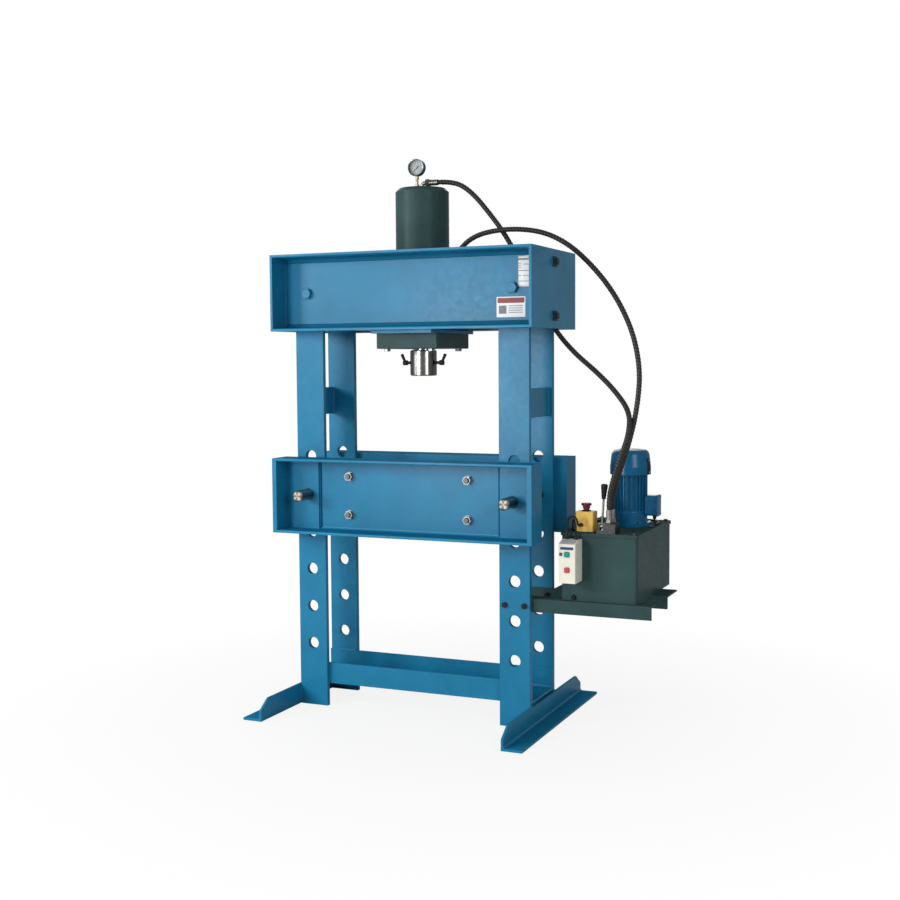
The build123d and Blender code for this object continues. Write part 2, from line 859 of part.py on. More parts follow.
# Hoses: each route is measured from the ram, from the cylinder's fitting to the valve's fitting
extend_route = [
    (cap_hose_x, cap_port_y, cap_hose_height),
    (125, 30, 2064),
    (195, 36, 2018),
    (262, 50, 1935),
    (318, 60, 1858),
    (372, 66, 1762),
    (440, 70, 1616),
    (512, 80, 1490),
    (590, 82, 1400),
    (690, 57, 1325),
    (780, 2, 1252),
    (848, -55, 1180),
    (850, -84, 1100),
    (828, -98, 1030),
    (804, -99, 962),
    (786, -94, 900),
    (780, -90, 862),
    (port_a_x, port_a_y, valve_hose_height),
]
retract_route = [
    (side_hose_x, side_port_y, side_hose_height),
    (130, -8, 1730),
    (158, -6, 1802),
    (222, -2, 1850),
    (318, 4, 1868),
    (420, 10, 1866),
    (510, 14, 1846),
    (595, 13, 1800),
    (672, 9, 1732),
    (745, 3, 1650),
    (806, -5, 1556),
    (852, -13, 1450),
    (876, -25, 1330),
    (872, -38, 1225),
    (858, -50, 1130),
    (834, -66, 1030),
    (810, -68, 960),
    (794, -66, 900),
    (784, -64, 862),
    (port_b_x, port_b_y, valve_hose_height),
]
run_share = 0.45


def tube(route, diameter, name):
    """A tube along straight runs joined by the largest tangent arcs that the runs allow."""
    points = [Vector(ram_x + x, y, z) for x, y, z in route]
    runs = [after - before for before, after in zip(points, points[1:])]
    radii = []
    for before, after in zip(runs, runs[1:]):
        half_turn = before.get_angle(after) / 2
        shorter = min(before.length, after.length)
        radii.append(run_share * shorter / tan(radians(half_turn)))
    with BuildPart() as cord:
        with BuildLine() as path:
            FilletPolyline(*points, radius=radii)
        with BuildSketch(path.line ^ 0):
            Circle(diameter / 2)
        sweep()
    section = pi * diameter**2 / 4
    print(name, "radii", [round(radius) for radius in radii])
    filled = cord.part.volume / section / path.wires()[0].length
    print(name, "volume over section times length", round(filled, 4))
    return cord.part


save(tube(extend_route, hose_diameter, "extend_hose"), "extend_hose")
save(tube(retract_route, hose_diameter, "retract_hose"), "retract_hose")

# Table channels: webs inside, flanges outward, with welded end plates and pads round the pin holes
tie_heights = [pin_height + half * tie_rise / 2 for half in (-1, 1)]
tie_places = [(side * tie_spread / 2, height) for side in (-1, 1) for height in tie_heights]
web_outside = table_web_y + channel_web
for row, name in ((-1, "front_table_channel"), (1, "rear_table_channel")):
    with BuildPart() as table_channel:
        with BuildSketch(across(-table_length / 2)) as section:
            with Locations((row * (table_web_y + channel_depth / 2), pin_height)):
                Rectangle(channel_depth, table_height)
            with Locations((row * (web_outside + channel_depth / 2), pin_height)):
                Rectangle(channel_depth, table_height - 2 * channel_flange, mode=Mode.SUBTRACT)
            fillet(section.vertices().group_by(Axis.X)[1], channel_root)
            toes = section.vertices().sort_by(Axis.X, reverse=row > 0)[:4].sort_by(Axis.Y)
            fillet(toes[1:3], channel_toe)
        extrude(amount=table_length)
        for side in (-1, 1):
            with BuildSketch(across(side * table_length / 2)):
                with Locations((row * (table_web_y + channel_depth / 2), pin_height)):
                    Rectangle(channel_depth, table_height)
            extrude(amount=-side * table_end_thickness)
            with BuildSketch(facing(row * web_outside)):
                with Locations(
                    (ram_x + side * (table_length / 2 - table_end_thickness - pad_width / 2), pin_height)
                ):
                    Rectangle(pad_width, table_height - 2 * channel_flange)
            extrude(amount=-row * pad_thickness)
        with BuildSketch(facing(row * web_outside)):
            with Locations([(ram_x + side * column_x, pin_height) for side in (-1, 1)]):
                Circle(pin_hole / 2)
            with Locations([(ram_x + x, height) for x, height in tie_places]):
                Circle(tie_diameter / 2 + bolt_clearance)
        extrude(amount=pad_thickness + channel_web, both=True, mode=Mode.SUBTRACT)
    save(table_channel.part, name)

# Tie rods of the table, with a nut at each end and a spacer tube between the webs
tie_pieces = []
rod_half = web_outside + tie_nut_height + tie_stub
for x, height in tie_places:
    tie_pieces.append(disc(looking(x, -rod_half, height, (0, 1, 0)), tie_diameter, 2 * rod_half))
    for row in (-1, 1):
        nut_plane = looking(x, row * web_outside, height, (0, row, 0))
        tie_pieces.append(hex_nut(nut_plane, tie_nut_flats, tie_nut_height, tie_diameter + 2 * nut_clearance))
    with BuildPart() as spacer_tube:
        with BuildSketch(looking(x, -table_web_y, height, (0, 1, 0))):
            Circle(tube_diameter / 2)
            Circle(tie_diameter / 2 + bolt_clearance, mode=Mode.SUBTRACT)
        extrude(amount=2 * table_web_y)
    tie_pieces.append(spacer_tube.part)
group(tie_pieces, "table_tie_rods")

# Table pins: plain bars that pass through both uprights and both table channels
for side, name in ((-1, "left_table_pin"), (1, "right_table_pin")):
    with BuildPart() as table_pin:
        with BuildSketch(looking(side * column_x, -pin_front_reach, pin_height, (0, 1, 0))):
            Circle(pin_diameter / 2)
        extrude(amount=pin_front_reach + pin_rear_reach)
        chamfer(table_pin.edges().filter_by(GeomType.CIRCLE), pin_chamfer)
    save(table_pin.part, name)

# Bracket angles: bolted behind the front right upright and before the rear right one
bracket_start = column_x - upright_width / 2
bracket_length = right_reach - bracket_start
for row, shelf, name in (
    (-1, bracket_shelf_front, "front_bracket_angle"),
    (1, bracket_shelf_rear, "rear_bracket_angle"),
):
    leg_face = -inner_y if row < 0 else inner_y - bracket_thickness
    with BuildPart() as bracket:
        with BuildSketch(across(bracket_start)) as section:
            with BuildLine():
                Polyline(
                    (leg_face, bracket_top - bracket_leg),
                    (leg_face, bracket_top),
                    (leg_face + shelf, bracket_top),
                    (leg_face + shelf, bracket_top - bracket_thickness),
                    (leg_face + bracket_thickness, bracket_top - bracket_thickness),
                    (leg_face + bracket_thickness, bracket_top - bracket_leg),
                    close=True,
                )
            make_face()
        extrude(amount=bracket_length)
        with BuildSketch(facing(leg_face)):
            with Locations([(ram_x + x, bracket_bolt_height) for x in bracket_bolt_xs]):
                Circle(bracket_bolt_diameter / 2 + bolt_clearance)
        extrude(amount=overrun, both=True, mode=Mode.SUBTRACT)
        if row > 0:
            with BuildSketch(level(bracket_top - bracket_leg)):
                with Locations((ram_x + outer_x + bracket_notch_gap, inner_y)):
                    Rectangle(bracket_length, bracket_shelf_rear, align=(Align.MAX, Align.MIN))
            extrude(amount=bracket_leg + overrun, mode=Mode.SUBTRACT)
    save(bracket.part, name)

# Bracket bolts with nuts inside the column
bracket_bolts = []
bolt_length = upright_thickness + bracket_thickness + bracket_nut_height + bolt_stub
for row in (-1, 1):
    for x in bracket_bolt_xs:
        outside = looking(x, row * outer_y, bracket_bolt_height, (0, row, 0))
        inside = looking(x, row * (inner_y - bracket_thickness), bracket_bolt_height, (0, -row, 0))
        bracket_bolts.append(
            hex_bolt(outside, bracket_bolt_flats, bracket_bolt_head, bracket_bolt_diameter, bolt_length)
        )
        bracket_bolts.append(
            hex_nut(inside, bracket_bolt_flats, bracket_nut_height, bracket_bolt_diameter + 2 * nut_clearance)
        )
group(bracket_bolts, "bracket_bolts")

# Tank: a folded box on the two angles, with a rim turned inward for the lid bolts
tank_x = tank_left + tank_width / 2
tank_y = tank_front + tank_depth / 2
rim_width = 2 * lid_bolt_inset - lid_overhang - tank_wall
lid_width = tank_width + 2 * lid_overhang
lid_depth = tank_depth + 2 * lid_overhang
lid_bolt_x_spread = lid_width - 2 * lid_bolt_inset
lid_bolt_y_spread = lid_depth - 2 * lid_bolt_inset
with BuildPart() as tank:
    with BuildSketch(level(bracket_top)):
        with Locations((ram_x + tank_x, tank_y)):
            RectangleRounded(tank_width, tank_depth, tank_corner)
    extrude(amount=tank_height)
    with BuildSketch(level(bracket_top + tank_wall)):
        with Locations((ram_x + tank_x, tank_y)):
            RectangleRounded(
                tank_width - 2 * tank_wall, tank_depth - 2 * tank_wall, tank_corner - tank_wall
            )
    extrude(amount=tank_height - 2 * tank_wall, mode=Mode.SUBTRACT)
    with BuildSketch(level(lid_base)):
        with Locations((ram_x + tank_x, tank_y)):
            Rectangle(tank_width - 2 * rim_width, tank_depth - 2 * rim_width)
            with GridLocations(lid_bolt_x_spread, lid_bolt_y_spread / 2, 2, 3):
                Circle(lid_bolt_diameter / 2 + nut_clearance)
    extrude(amount=-tank_wall - nut_clearance, mode=Mode.SUBTRACT)
save(tank.part, "tank")

with BuildPart() as tank_lid:
    with BuildSketch(level(lid_base)):
        with Locations((ram_x + tank_x, tank_y)):
            RectangleRounded(lid_width, lid_depth, tank_corner)
            with GridLocations(lid_bolt_x_spread, lid_bolt_y_spread / 2, 2, 3):
                Circle(lid_bolt_diameter / 2 + nut_clearance, mode=Mode.SUBTRACT)
        with Locations((ram_x + motor_x, motor_y)):
            Circle(lid_pump_hole / 2, mode=Mode.SUBTRACT)
    extrude(amount=lid_thickness)
    chamfer(tank_lid.faces().sort_by(Axis.Z)[-1].outer_wire().edges(), upright_edge)
save(tank_lid.part, "tank_lid")

lid_bolts = []
for half_x in (-1, 1):
    for half_y in (-1, 0, 1):
        bolt_x = tank_x + half_x * lid_bolt_x_spread / 2
        bolt_y = tank_y + half_y * lid_bolt_y_spread / 2
        bolt_seat = looking(bolt_x, bolt_y, lid_top, (0, 0, 1))
        bolt_length = lid_thickness + lid_bolt_depth
        lid_bolts.append(hex_bolt(bolt_seat, lid_bolt_flats, lid_bolt_head, lid_bolt_diameter, bolt_length))
group(lid_bolts, "lid_bolts")

# Motor frame: foot flange, plain bell, finned body, end shield with lugs for the fan cover
motor_bell_diameter = motor_body_diameter + 2 * motor_fin_height
bell_base = lid_top + motor_flange_thickness
body_base = bell_base + motor_bell_height
body_top = body_base + motor_body_height
cover_base = body_top - fan_cover_overlap
cover_inner = fan_cover_diameter / 2 - fan_cover_wall
rotor_base = bell_base + rotor_end_room
rotor_top = body_top - rotor_end_room
terminal_x = motor_x + motor_bell_diameter / 2
terminal_base = lid_top + terminal_rise
shaft_bore = shaft_diameter + 2 * shaft_clearance
with BuildPart() as motor_frame:
    with BuildSketch(looking(motor_x, motor_y, lid_top, (0, 0, 1))):
        Circle(motor_flange_diameter / 2)
    extrude(amount=motor_flange_thickness)
    with BuildSketch(looking(motor_x, motor_y, bell_base, (0, 0, 1))):
        Circle(motor_bell_diameter / 2)
    extrude(amount=motor_bell_height)
    fillet(motor_frame.faces().sort_by(Axis.Z)[-1].edges(), motor_bell_root)
    with BuildSketch(looking(motor_x, motor_y, bell_base, (0, 0, 1))):
        Circle(motor_body_diameter / 2)
    extrude(amount=body_top - bell_base)
    with BuildSketch(looking(motor_x, motor_y, body_base - motor_bell_root, (0, 0, 1))):
        with PolarLocations(motor_body_diameter / 2, motor_fin_count):
            Rectangle(2 * motor_fin_height, motor_fin_thickness)
    extrude(amount=motor_body_height + motor_bell_root - fan_cover_overlap)
    with BuildSketch(looking(motor_x, motor_y, body_top, (0, 0, 1))):
        Circle(motor_body_diameter / 2 - motor_shield_height)
    extrude(amount=motor_shield_height)
    with BuildSketch(looking(motor_x, motor_y, body_top, (0, 0, 1))):
        with PolarLocations((cover_inner - lug_gap) / 2, 4, start_angle=45):
            Rectangle(cover_inner - lug_gap, lug_width)
    extrude(amount=lug_height)
    with BuildSketch(looking(terminal_x, motor_y, terminal_base + terminal_height / 2, (-1, 0, 0))):
        Rectangle(terminal_width - 2 * terminal_round, terminal_height - 2 * terminal_round)
    extrude(amount=(motor_bell_diameter - rotor_diameter) / 2)
    with BuildSketch(looking(motor_x, motor_y, rotor_base, (0, 0, 1))):
        Circle(rotor_diameter / 2 + rotor_gap)
    extrude(amount=rotor_top - rotor_base, mode=Mode.SUBTRACT)
    with BuildSketch(looking(motor_x, motor_y, lid_top, (0, 0, 1))):
        Circle(shaft_bore / 2)
    extrude(amount=body_top + motor_shield_height - lid_top, mode=Mode.SUBTRACT)
save(motor_frame.part, "motor_frame")

# Fan cover: a turned shell with a straight skirt, a tapered crown and slots in its top
cover_top = cover_base + fan_cover_height
with BuildPart() as fan_cover:
    with BuildSketch(looking(motor_x, motor_y, cover_base, (0, 0, 1))):
        Circle(fan_cover_diameter / 2)
    extrude(amount=fan_cover_skirt)
    with BuildSketch(looking(motor_x, motor_y, cover_base + fan_cover_skirt, (0, 0, 1))):
        Circle(fan_cover_diameter / 2)
    with BuildSketch(looking(motor_x, motor_y, cover_top, (0, 0, 1))):
        Circle(fan_cover_top_diameter / 2)
    loft()
    fillet(fan_cover.faces().sort_by(Axis.Z)[-1].edges(), fan_cover_round)
    offset(amount=-fan_cover_wall, openings=fan_cover.faces().sort_by(Axis.Z)[0])
    with BuildSketch(looking(motor_x, motor_y, cover_top, (0, 0, 1))):
        with PolarLocations((fan_slot_inner + fan_slot_outer) / 2, fan_slot_count):
            SlotOverall(fan_slot_outer - fan_slot_inner, fan_slot_width)
    extrude(amount=-fan_cover_wall - overrun, mode=Mode.SUBTRACT)
save(fan_cover.part, "motor_fan_cover")

# Rotor with its shaft, and the fan on the shaft's upper end
fan_base = lid_top + fan_base_rise
shaft_base = lid_base - pump_shaft_depth
with BuildPart() as rotor:
    with BuildSketch(looking(motor_x, motor_y, rotor_base + rotor_gap, (0, 0, 1))):
        Circle(rotor_diameter / 2)
    extrude(amount=rotor_top - rotor_base - 2 * rotor_gap)
    with BuildSketch(looking(motor_x, motor_y, shaft_base + rotor_gap, (0, 0, 1))):
        Circle(shaft_diameter / 2)
    extrude(amount=lid_top + shaft_top_rise - shaft_base - rotor_gap)
save(rotor.part, "motor_rotor")

with BuildPart() as fan:
    with BuildSketch(looking(motor_x, motor_y, fan_base, (0, 0, 1))):
        Circle(fan_diameter / 2)
    extrude(amount=fan_plate)
    with BuildSketch(looking(motor_x, motor_y, fan_base, (0, 0, 1))):
        Circle(fan_hub_diameter / 2)
        with PolarLocations(fan_diameter / 4, fan_blade_count):
            Rectangle(fan_diameter / 2 - fan_blade_thickness, fan_blade_thickness)
    extrude(amount=fan_height)
    with BuildSketch(looking(motor_x, motor_y, fan_base, (0, 0, 1))):
        Circle(shaft_diameter / 2)
    extrude(amount=fan_height, mode=Mode.SUBTRACT)
save(fan.part, "motor_fan")

# Terminal box on the motor's right side, with its screwed cover
with BuildPart() as terminal_box:
    with BuildSketch(looking(terminal_x, motor_y, terminal_base + terminal_height / 2, (1, 0, 0))):
        RectangleRounded(
            terminal_width - 2 * terminal_overlap, terminal_height - 2 * terminal_overlap, terminal_round
        )
    extrude(amount=terminal_depth)
    with BuildSketch(
        looking(terminal_x + terminal_depth, motor_y, terminal_base + terminal_height / 2, (1, 0, 0))
    ):
        RectangleRounded(terminal_width, terminal_height, terminal_round)
    extrude(amount=terminal_cover)
    chamfer(terminal_box.faces().sort_by(Axis.X)[-1].edges(), terminal_overlap)
save(terminal_box.part, "motor_terminal_box")

# Pump under the lid and its suction strainer
pump_top = lid_base - pump_flange_thickness
with BuildPart() as pump:
    with BuildSketch(looking(motor_x, motor_y, pump_top, (0, 0, 1))):
        Circle(pump_flange_diameter / 2)
    extrude(amount=pump_flange_thickness)
    with BuildSketch(looking(motor_x, motor_y, pump_top, (0, 0, 1))):
        Rectangle(pump_width, pump_depth)
    extrude(amount=-pump_height)
    with BuildSketch(looking(motor_x, motor_y, lid_base, (0, 0, 1))):
        Circle(shaft_bore / 2)
    extrude(amount=-pump_shaft_depth, mode=Mode.SUBTRACT)
save(pump.part, "pump_body")

pump_base = pump_top - pump_height
strainer_top = pump_base - suction_pipe_length
with BuildPart() as strainer:
    with BuildSketch(looking(motor_x, motor_y, pump_base, (0, 0, 1))):
        Circle(suction_pipe_diameter / 2)
    extrude(amount=-suction_pipe_length)
    with BuildSketch(looking(motor_x, motor_y, strainer_top, (0, 0, 1))):
        Circle(strainer_diameter / 2)
    extrude(amount=-strainer_height)
save(strainer.part, "suction_strainer")

# Lever valve on the lid: body with the hose ports, slab with two ears, lever and knob
lever_x = valve_left - valve_slab_width / 2
lever_pivot = lid_top + lever_pivot_rise
valve_y = valve_front + valve_depth / 2
ear_base = lid_top + valve_slab_height
with BuildPart() as valve:
    with BuildSketch(looking(valve_left + valve_width / 2, valve_y, lid_top, (0, 0, 1))):
        Rectangle(valve_width, valve_depth)
    extrude(amount=valve_height)
    chamfer(valve.faces().sort_by(Axis.Z)[-1].edges(), valve_edge)
    with BuildSketch(looking(lever_x, valve_y, lid_top, (0, 0, 1))):
        Rectangle(valve_slab_width, valve_depth)
    extrude(amount=valve_slab_height)
    with BuildSketch(looking(lever_x, lever_pivot_y, ear_base, (0, 0, 1))):
        with GridLocations(ear_gap + ear_thickness, 0, 2, 1):
            Rectangle(ear_thickness, ear_length)
    extrude(amount=ear_height)
    with BuildSketch(looking(lever_x, lever_pivot_y, lever_pivot, (1, 0, 0))):
        Circle(lever_pin_diameter / 2 + lever_pin_clearance)
    extrude(amount=valve_slab_width / 2, both=True, mode=Mode.SUBTRACT)
save(valve.part, "valve_body")

rod_way = (sin(radians(lever_lean)), 0, cos(radians(lever_lean)))
with BuildPart() as lever:
    with BuildSketch(looking(lever_x, lever_pivot_y, lever_pivot, (1, 0, 0))):
        Circle(lever_eye_diameter / 2)
    extrude(amount=ear_gap / 2 - lever_side_gap, both=True)
    with BuildSketch(looking(lever_x, lever_pivot_y, lever_pivot, (1, 0, 0))):
        Circle(lever_pin_diameter / 2)
    extrude(amount=ear_gap / 2 + ear_thickness, both=True)
    with BuildSketch(looking(lever_x, lever_pivot_y, lever_pivot, rod_way)):
        Circle(lever_rod_diameter / 2)
    extrude(amount=lever_rod_length)
save(lever.part, "valve_lever")

rod_line = looking(lever_x, lever_pivot_y, lever_pivot, rod_way)
knob_seat = rod_line.offset(lever_rod_length - knob_grip)
with BuildPart() as knob:
    with BuildSketch(knob_seat):
        Circle(knob_waist_diameter / 2)
    with BuildSketch(knob_seat.offset(knob_length)):
        Circle(knob_top_diameter / 2)
    loft()
    fillet(knob.faces().sort_by(Axis.Z)[-1].edges(), knob_round)
    with BuildSketch(knob_seat):
        Circle(lever_rod_diameter / 2)
    extrude(amount=knob_grip, mode=Mode.SUBTRACT)
save(knob.part, "valve_knob")

# Emergency stop: a box on the lid with a mushroom button in its top
estop_x = estop_left + estop_width / 2
estop_y = estop_front + estop_depth / 2
estop_top = lid_top + estop_height
with BuildPart() as estop_box:
    with BuildSketch(looking(estop_x, estop_y, lid_top, (0, 0, 1))):
        RectangleRounded(estop_width, estop_depth, estop_round)
    extrude(amount=estop_height)
    fillet(estop_box.faces().sort_by(Axis.Z)[-1].edges(), estop_round / 2)
    with BuildSketch(looking(estop_x, estop_y, estop_top, (0, 0, 1))):
        Circle(estop_stem_diameter / 2 + estop_stem_clearance)
    extrude(amount=-estop_stem_depth - estop_neck_gap, mode=Mode.SUBTRACT)
save(estop_box.part, "estop_box")

neck_base = estop_top + estop_neck_gap
with BuildPart() as estop_button:
    with BuildSketch(looking(estop_x, estop_y, estop_top - estop_stem_depth, (0, 0, 1))):
        Circle(estop_stem_diameter / 2)
    extrude(amount=estop_stem_depth + estop_neck_gap)
    with BuildSketch(looking(estop_x, estop_y, neck_base, (0, 0, 1))):
        Circle(estop_neck_diameter / 2)
    extrude(amount=estop_neck_height)
    with BuildSketch(looking(estop_x, estop_y, neck_base + estop_neck_height, (0, 0, 1))):
        Circle(estop_cap_diameter / 2)
    extrude(amount=estop_cap_height)
    fillet(estop_button.faces().sort_by(Axis.Z)[-1].edges(), estop_cap_round)
save(estop_button.part, "estop_button")

# Starter box on the tank's front: a sloped brow over the face with the two buttons
starter_x = starter_left + starter_width / 2
starter_front = tank_front - starter_depth
with BuildPart() as starter_box:
    with BuildSketch(across(starter_left)):
        with BuildLine():
            Polyline(
                (tank_front, starter_base),
                (starter_front, starter_base),
                (starter_front, starter_base + starter_front_height),
                (tank_front - starter_ledge, starter_base + starter_rear_height),
                (tank_front, starter_base + starter_rear_height),
                close=True,
            )
        make_face()
    extrude(amount=starter_width)
    fillet(starter_box.edges().filter_by(Axis.Z).group_by(Axis.Y)[0], starter_round)
    with BuildSketch(facing(starter_front)):
        with Locations([(ram_x + starter_x, height) for height in (start_height, stop_height)]):
            RectangleRounded(
                button_side + 2 * button_clearance,
                button_side + 2 * button_clearance,
                button_corner + button_clearance,
            )
    extrude(amount=-button_well, mode=Mode.SUBTRACT)
save(starter_box.part, "starter_box")

for height, name in ((start_height, "start_button"), (stop_height, "stop_button")):
    with BuildPart() as button:
        with BuildSketch(looking(starter_x, starter_front - button_proud, height, (0, 1, 0))):
            RectangleRounded(button_side, button_side, button_corner)
        extrude(amount=button_well)
        fillet(button.faces().sort_by(Axis.Y)[0].edges(), button_edge)
    save(button.part, name)

# Leads: from the emergency stop and from the motor to two glands on the starter's ledge
ledge_top = starter_base + starter_rear_height
ledge_y = tank_front - starter_ledge / 2
gland_x_offset = starter_width / 4
lead_height = lid_top + lead_diameter / 2 + nut_clearance
motor_gland_x = terminal_x + terminal_depth * 3 / 4
motor_gland_y = motor_y
estop_gland_x = estop_left + estop_width / 3
estop_gland_height = lid_top + estop_height / 3
estop_lead_route = [
    (estop_gland_x, estop_front - gland_length, estop_gland_height),
    (664.6, -90, 765.5),
    (664.4, -103, 771),
    (664, -108, 785),
    (659.5, -111, 797),
    (648, -115, 802),
    (636.5, -119, 797),
    (632, -121, 785),
    (631.4, -121.3, 758),
    (starter_x - gland_x_offset, ledge_y, ledge_top + gland_length),
]
motor_lead_route = [
    (motor_gland_x, motor_gland_y, terminal_base - gland_length),
    (877, 187, 757),
    (877, 195.5, 746),
    (876.5, 216, lead_height),
    (873, 262, lead_height),
    (858, 316, lead_height),
    (822, 346, lead_height),
    (760, 354, lead_height),
    (690, 348, lead_height),
    (648, 318, lead_height),
    (634, 262, lead_height),
    (631, 180, lead_height),
    (634, 96, lead_height),
    (631, 12, lead_height),
    (632, -40, lead_height),
    (633, -60, 745.5),
    (635, -73, 755),
    (637.5, -80, 770),
    (643, -92, 785),
    (650, -104, 790),
    (656.5, -114, 783),
    (662, -120, 768),
    (663.6, -121.3, 750),
    (starter_x + gland_x_offset, ledge_y, ledge_top + gland_length),
]
lead_pieces = [
    disc(looking(estop_gland_x, estop_front, estop_gland_height, (0, -1, 0)), gland_diameter, gland_length),
    disc(looking(motor_gland_x, motor_gland_y, terminal_base, (0, 0, -1)), gland_diameter, gland_length),
    disc(looking(starter_x - gland_x_offset, ledge_y, ledge_top, (0, 0, 1)), gland_diameter, gland_length),
    disc(looking(starter_x + gland_x_offset, ledge_y, ledge_top, (0, 0, 1)), gland_diameter, gland_length),
    tube(estop_lead_route, lead_diameter, "estop lead"),
    tube(motor_lead_route, lead_diameter, "motor lead"),
]
group(lead_pieces, "control_leads")
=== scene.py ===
import math
import bpy
from mathutils import Matrix, Vector


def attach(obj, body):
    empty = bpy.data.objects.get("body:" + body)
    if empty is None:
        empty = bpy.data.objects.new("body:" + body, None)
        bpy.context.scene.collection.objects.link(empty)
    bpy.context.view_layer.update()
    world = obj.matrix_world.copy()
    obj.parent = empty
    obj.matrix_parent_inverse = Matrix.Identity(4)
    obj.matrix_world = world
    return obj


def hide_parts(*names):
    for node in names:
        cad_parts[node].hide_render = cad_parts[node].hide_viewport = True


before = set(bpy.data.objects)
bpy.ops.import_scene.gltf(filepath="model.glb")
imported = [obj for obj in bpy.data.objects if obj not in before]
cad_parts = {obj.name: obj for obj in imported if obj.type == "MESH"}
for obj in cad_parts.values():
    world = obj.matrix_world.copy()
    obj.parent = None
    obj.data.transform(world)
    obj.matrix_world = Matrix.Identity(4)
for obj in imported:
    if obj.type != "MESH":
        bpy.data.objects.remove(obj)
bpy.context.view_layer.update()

# Studio: a white room with two lamps at the left and front, and weaker ones at the right and back.
# The camera stands in front of the press, to its right, at chest height.
scene = bpy.context.scene
scene.view_settings.view_transform = "Standard"
camera = bpy.data.objects.new("camera", bpy.data.cameras.new("camera"))
scene.collection.objects.link(camera)
camera.data.lens = 52.0
camera.data.sensor_width = 36.0
camera.data.clip_end = 100.0
camera_place = (1.9447, -4.6313, 1.3731)
camera_turn = math.radians(23.584)
camera_tilt = math.radians(90.0 - 3.93)
camera_roll = math.radians(-0.373)
camera.matrix_world = (
    Matrix.Translation(camera_place)
    @ Matrix.Rotation(camera_turn, 4, "Z")
    @ Matrix.Rotation(camera_tilt, 4, "X")
    @ Matrix.Rotation(camera_roll, 4, "Z")
)
scene.camera = camera


def add(tree, kind, inputs=(), **settings):
    """One shader node, with its settings and its input values or links."""
    node = tree.nodes.new(kind)
    for key, value in settings.items():
        setattr(node, key, value)
    for key, value in dict(inputs).items():
        if isinstance(value, bpy.types.NodeSocket):
            tree.links.new(value, node.inputs[key])
        else:
            node.inputs[key].default_value = value
    return node


def remap(tree, value, old, new):
    """A value moved from one range to another and held at its ends."""
    limits = {"From Min": old[0], "From Max": old[1], "To Min": new[0], "To Max": new[1]}
    return add(tree, "ShaderNodeMapRange", {"Value": value, **limits}).outputs["Result"]


def seen_straight(tree):
    """1 where the eye sees the white room, straight or through glass, and 0 where light comes from it."""
    path = add(tree, "ShaderNodeLightPath")
    return add(
        tree, "ShaderNodeMath", {0: path.outputs["Is Camera Ray"], 1: path.outputs["Is Transmission Ray"]},
        operation="MAXIMUM",
    ).outputs[0]


unit = (0.0, 1.0)
white = (1.0, 1.0, 1.0, 1.0)
room_level = 0.35
world = bpy.data.worlds.new("white_room")
scene.world = world
world.use_nodes = True
room = world.node_tree
backdrop = room.nodes["Background"]
backdrop.inputs["Color"].default_value = white
room.links.new(remap(room, seen_straight(room), unit, (room_level, 1.0)), backdrop.inputs["Strength"])

floor_size = 60.0
floor_grey = (0.7, 0.7, 0.7, 1.0)
shadow_reach = (0.6, 2.0)
glow_share = (0.86, 1.0)
bpy.ops.mesh.primitive_plane_add(size=floor_size)
floor = bpy.context.object
floor.name = "studio_floor"
floor_white = bpy.data.materials.new("floor_white")
floor_white.use_nodes = True
floor_tree = floor_white.node_tree
floor_tree.nodes.remove(floor_tree.nodes["Principled BSDF"])
floor_matt = add(floor_tree, "ShaderNodeBsdfDiffuse", {"Color": floor_grey})
floor_glow = add(floor_tree, "ShaderNodeEmission", {"Color": white, "Strength": 1.0})
floor_place = add(floor_tree, "ShaderNodeTexCoord").outputs["Object"]
from_middle = add(floor_tree, "ShaderNodeVectorMath", {0: floor_place}, operation="LENGTH").outputs["Value"]
floor_share = add(
    floor_tree, "ShaderNodeMath",
    {0: seen_straight(floor_tree), 1: remap(floor_tree, from_middle, shadow_reach, glow_share)},
    operation="MULTIPLY",
)
floor_mix = add(
    floor_tree, "ShaderNodeMixShader",
    {"Fac": floor_share.outputs[0], 1: floor_matt.outputs[0], 2: floor_glow.outputs[0]},
)
floor_tree.links.new(floor_mix.outputs[0], floor_tree.nodes["Material Output"].inputs["Surface"])
floor.data.materials.append(floor_white)


def lamp(name, place, target, width, height, watts):
    """A soft lamp that looks at a target."""
    light = bpy.data.objects.new(name, bpy.data.lights.new(name, "AREA"))
    scene.collection.objects.link(light)
    light.data.shape = "RECTANGLE"
    light.data.size = width
    light.data.size_y = height
    light.data.energy = watts
    way = Vector(target) - Vector(place)
    light.matrix_world = Matrix.Translation(place) @ way.to_track_quat("-Z", "Y").to_matrix().to_4x4()


lamp("key_lamp", (-3.7, -3.6, 2.4), (0.0, 0.0, 1.2), 1.4, 1.4, 121.0)
lamp("front_lamp", (-1.5, -3.9, 1.35), (-0.1, 0.0, 1.25), 0.9, 1.6, 69.0)
lamp("fill_lamp", (3.0, -2.6, 2.0), (0.2, 0.0, 0.9), 1.5, 1.5, 36.0)
lamp("back_lamp", (-2.2, 4.6, 3.6), (0.0, 0.0, 1.0), 4.5, 4.5, 84.0)

# Feet and uprights: two angle feet and four flat bars, drilled for the table pins, of rolled steel.
# They are welded with plain fillet beads and sprayed a mid blue, a little uneven like all shop paint.
ram_x = -0.1875
corners = [(side, row) for side in (-1, 1) for row in (-1, 1)]


def spot(x, y, z):
    """A place in metres from millimetres, with X measured from the ram."""
    return Vector((ram_x + x / 1000.0, y / 1000.0, z / 1000.0))


def dress(material, *names):
    """Gives a finish to carried-over nodes."""
    for name in names:
        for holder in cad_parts[name].material_slots:
            holder.material = material


def shade(colour, factor, lift=0.0):
    """A colour made deeper or paler."""
    return (*[min(1.0, part * factor + lift) for part in colour], 1.0)


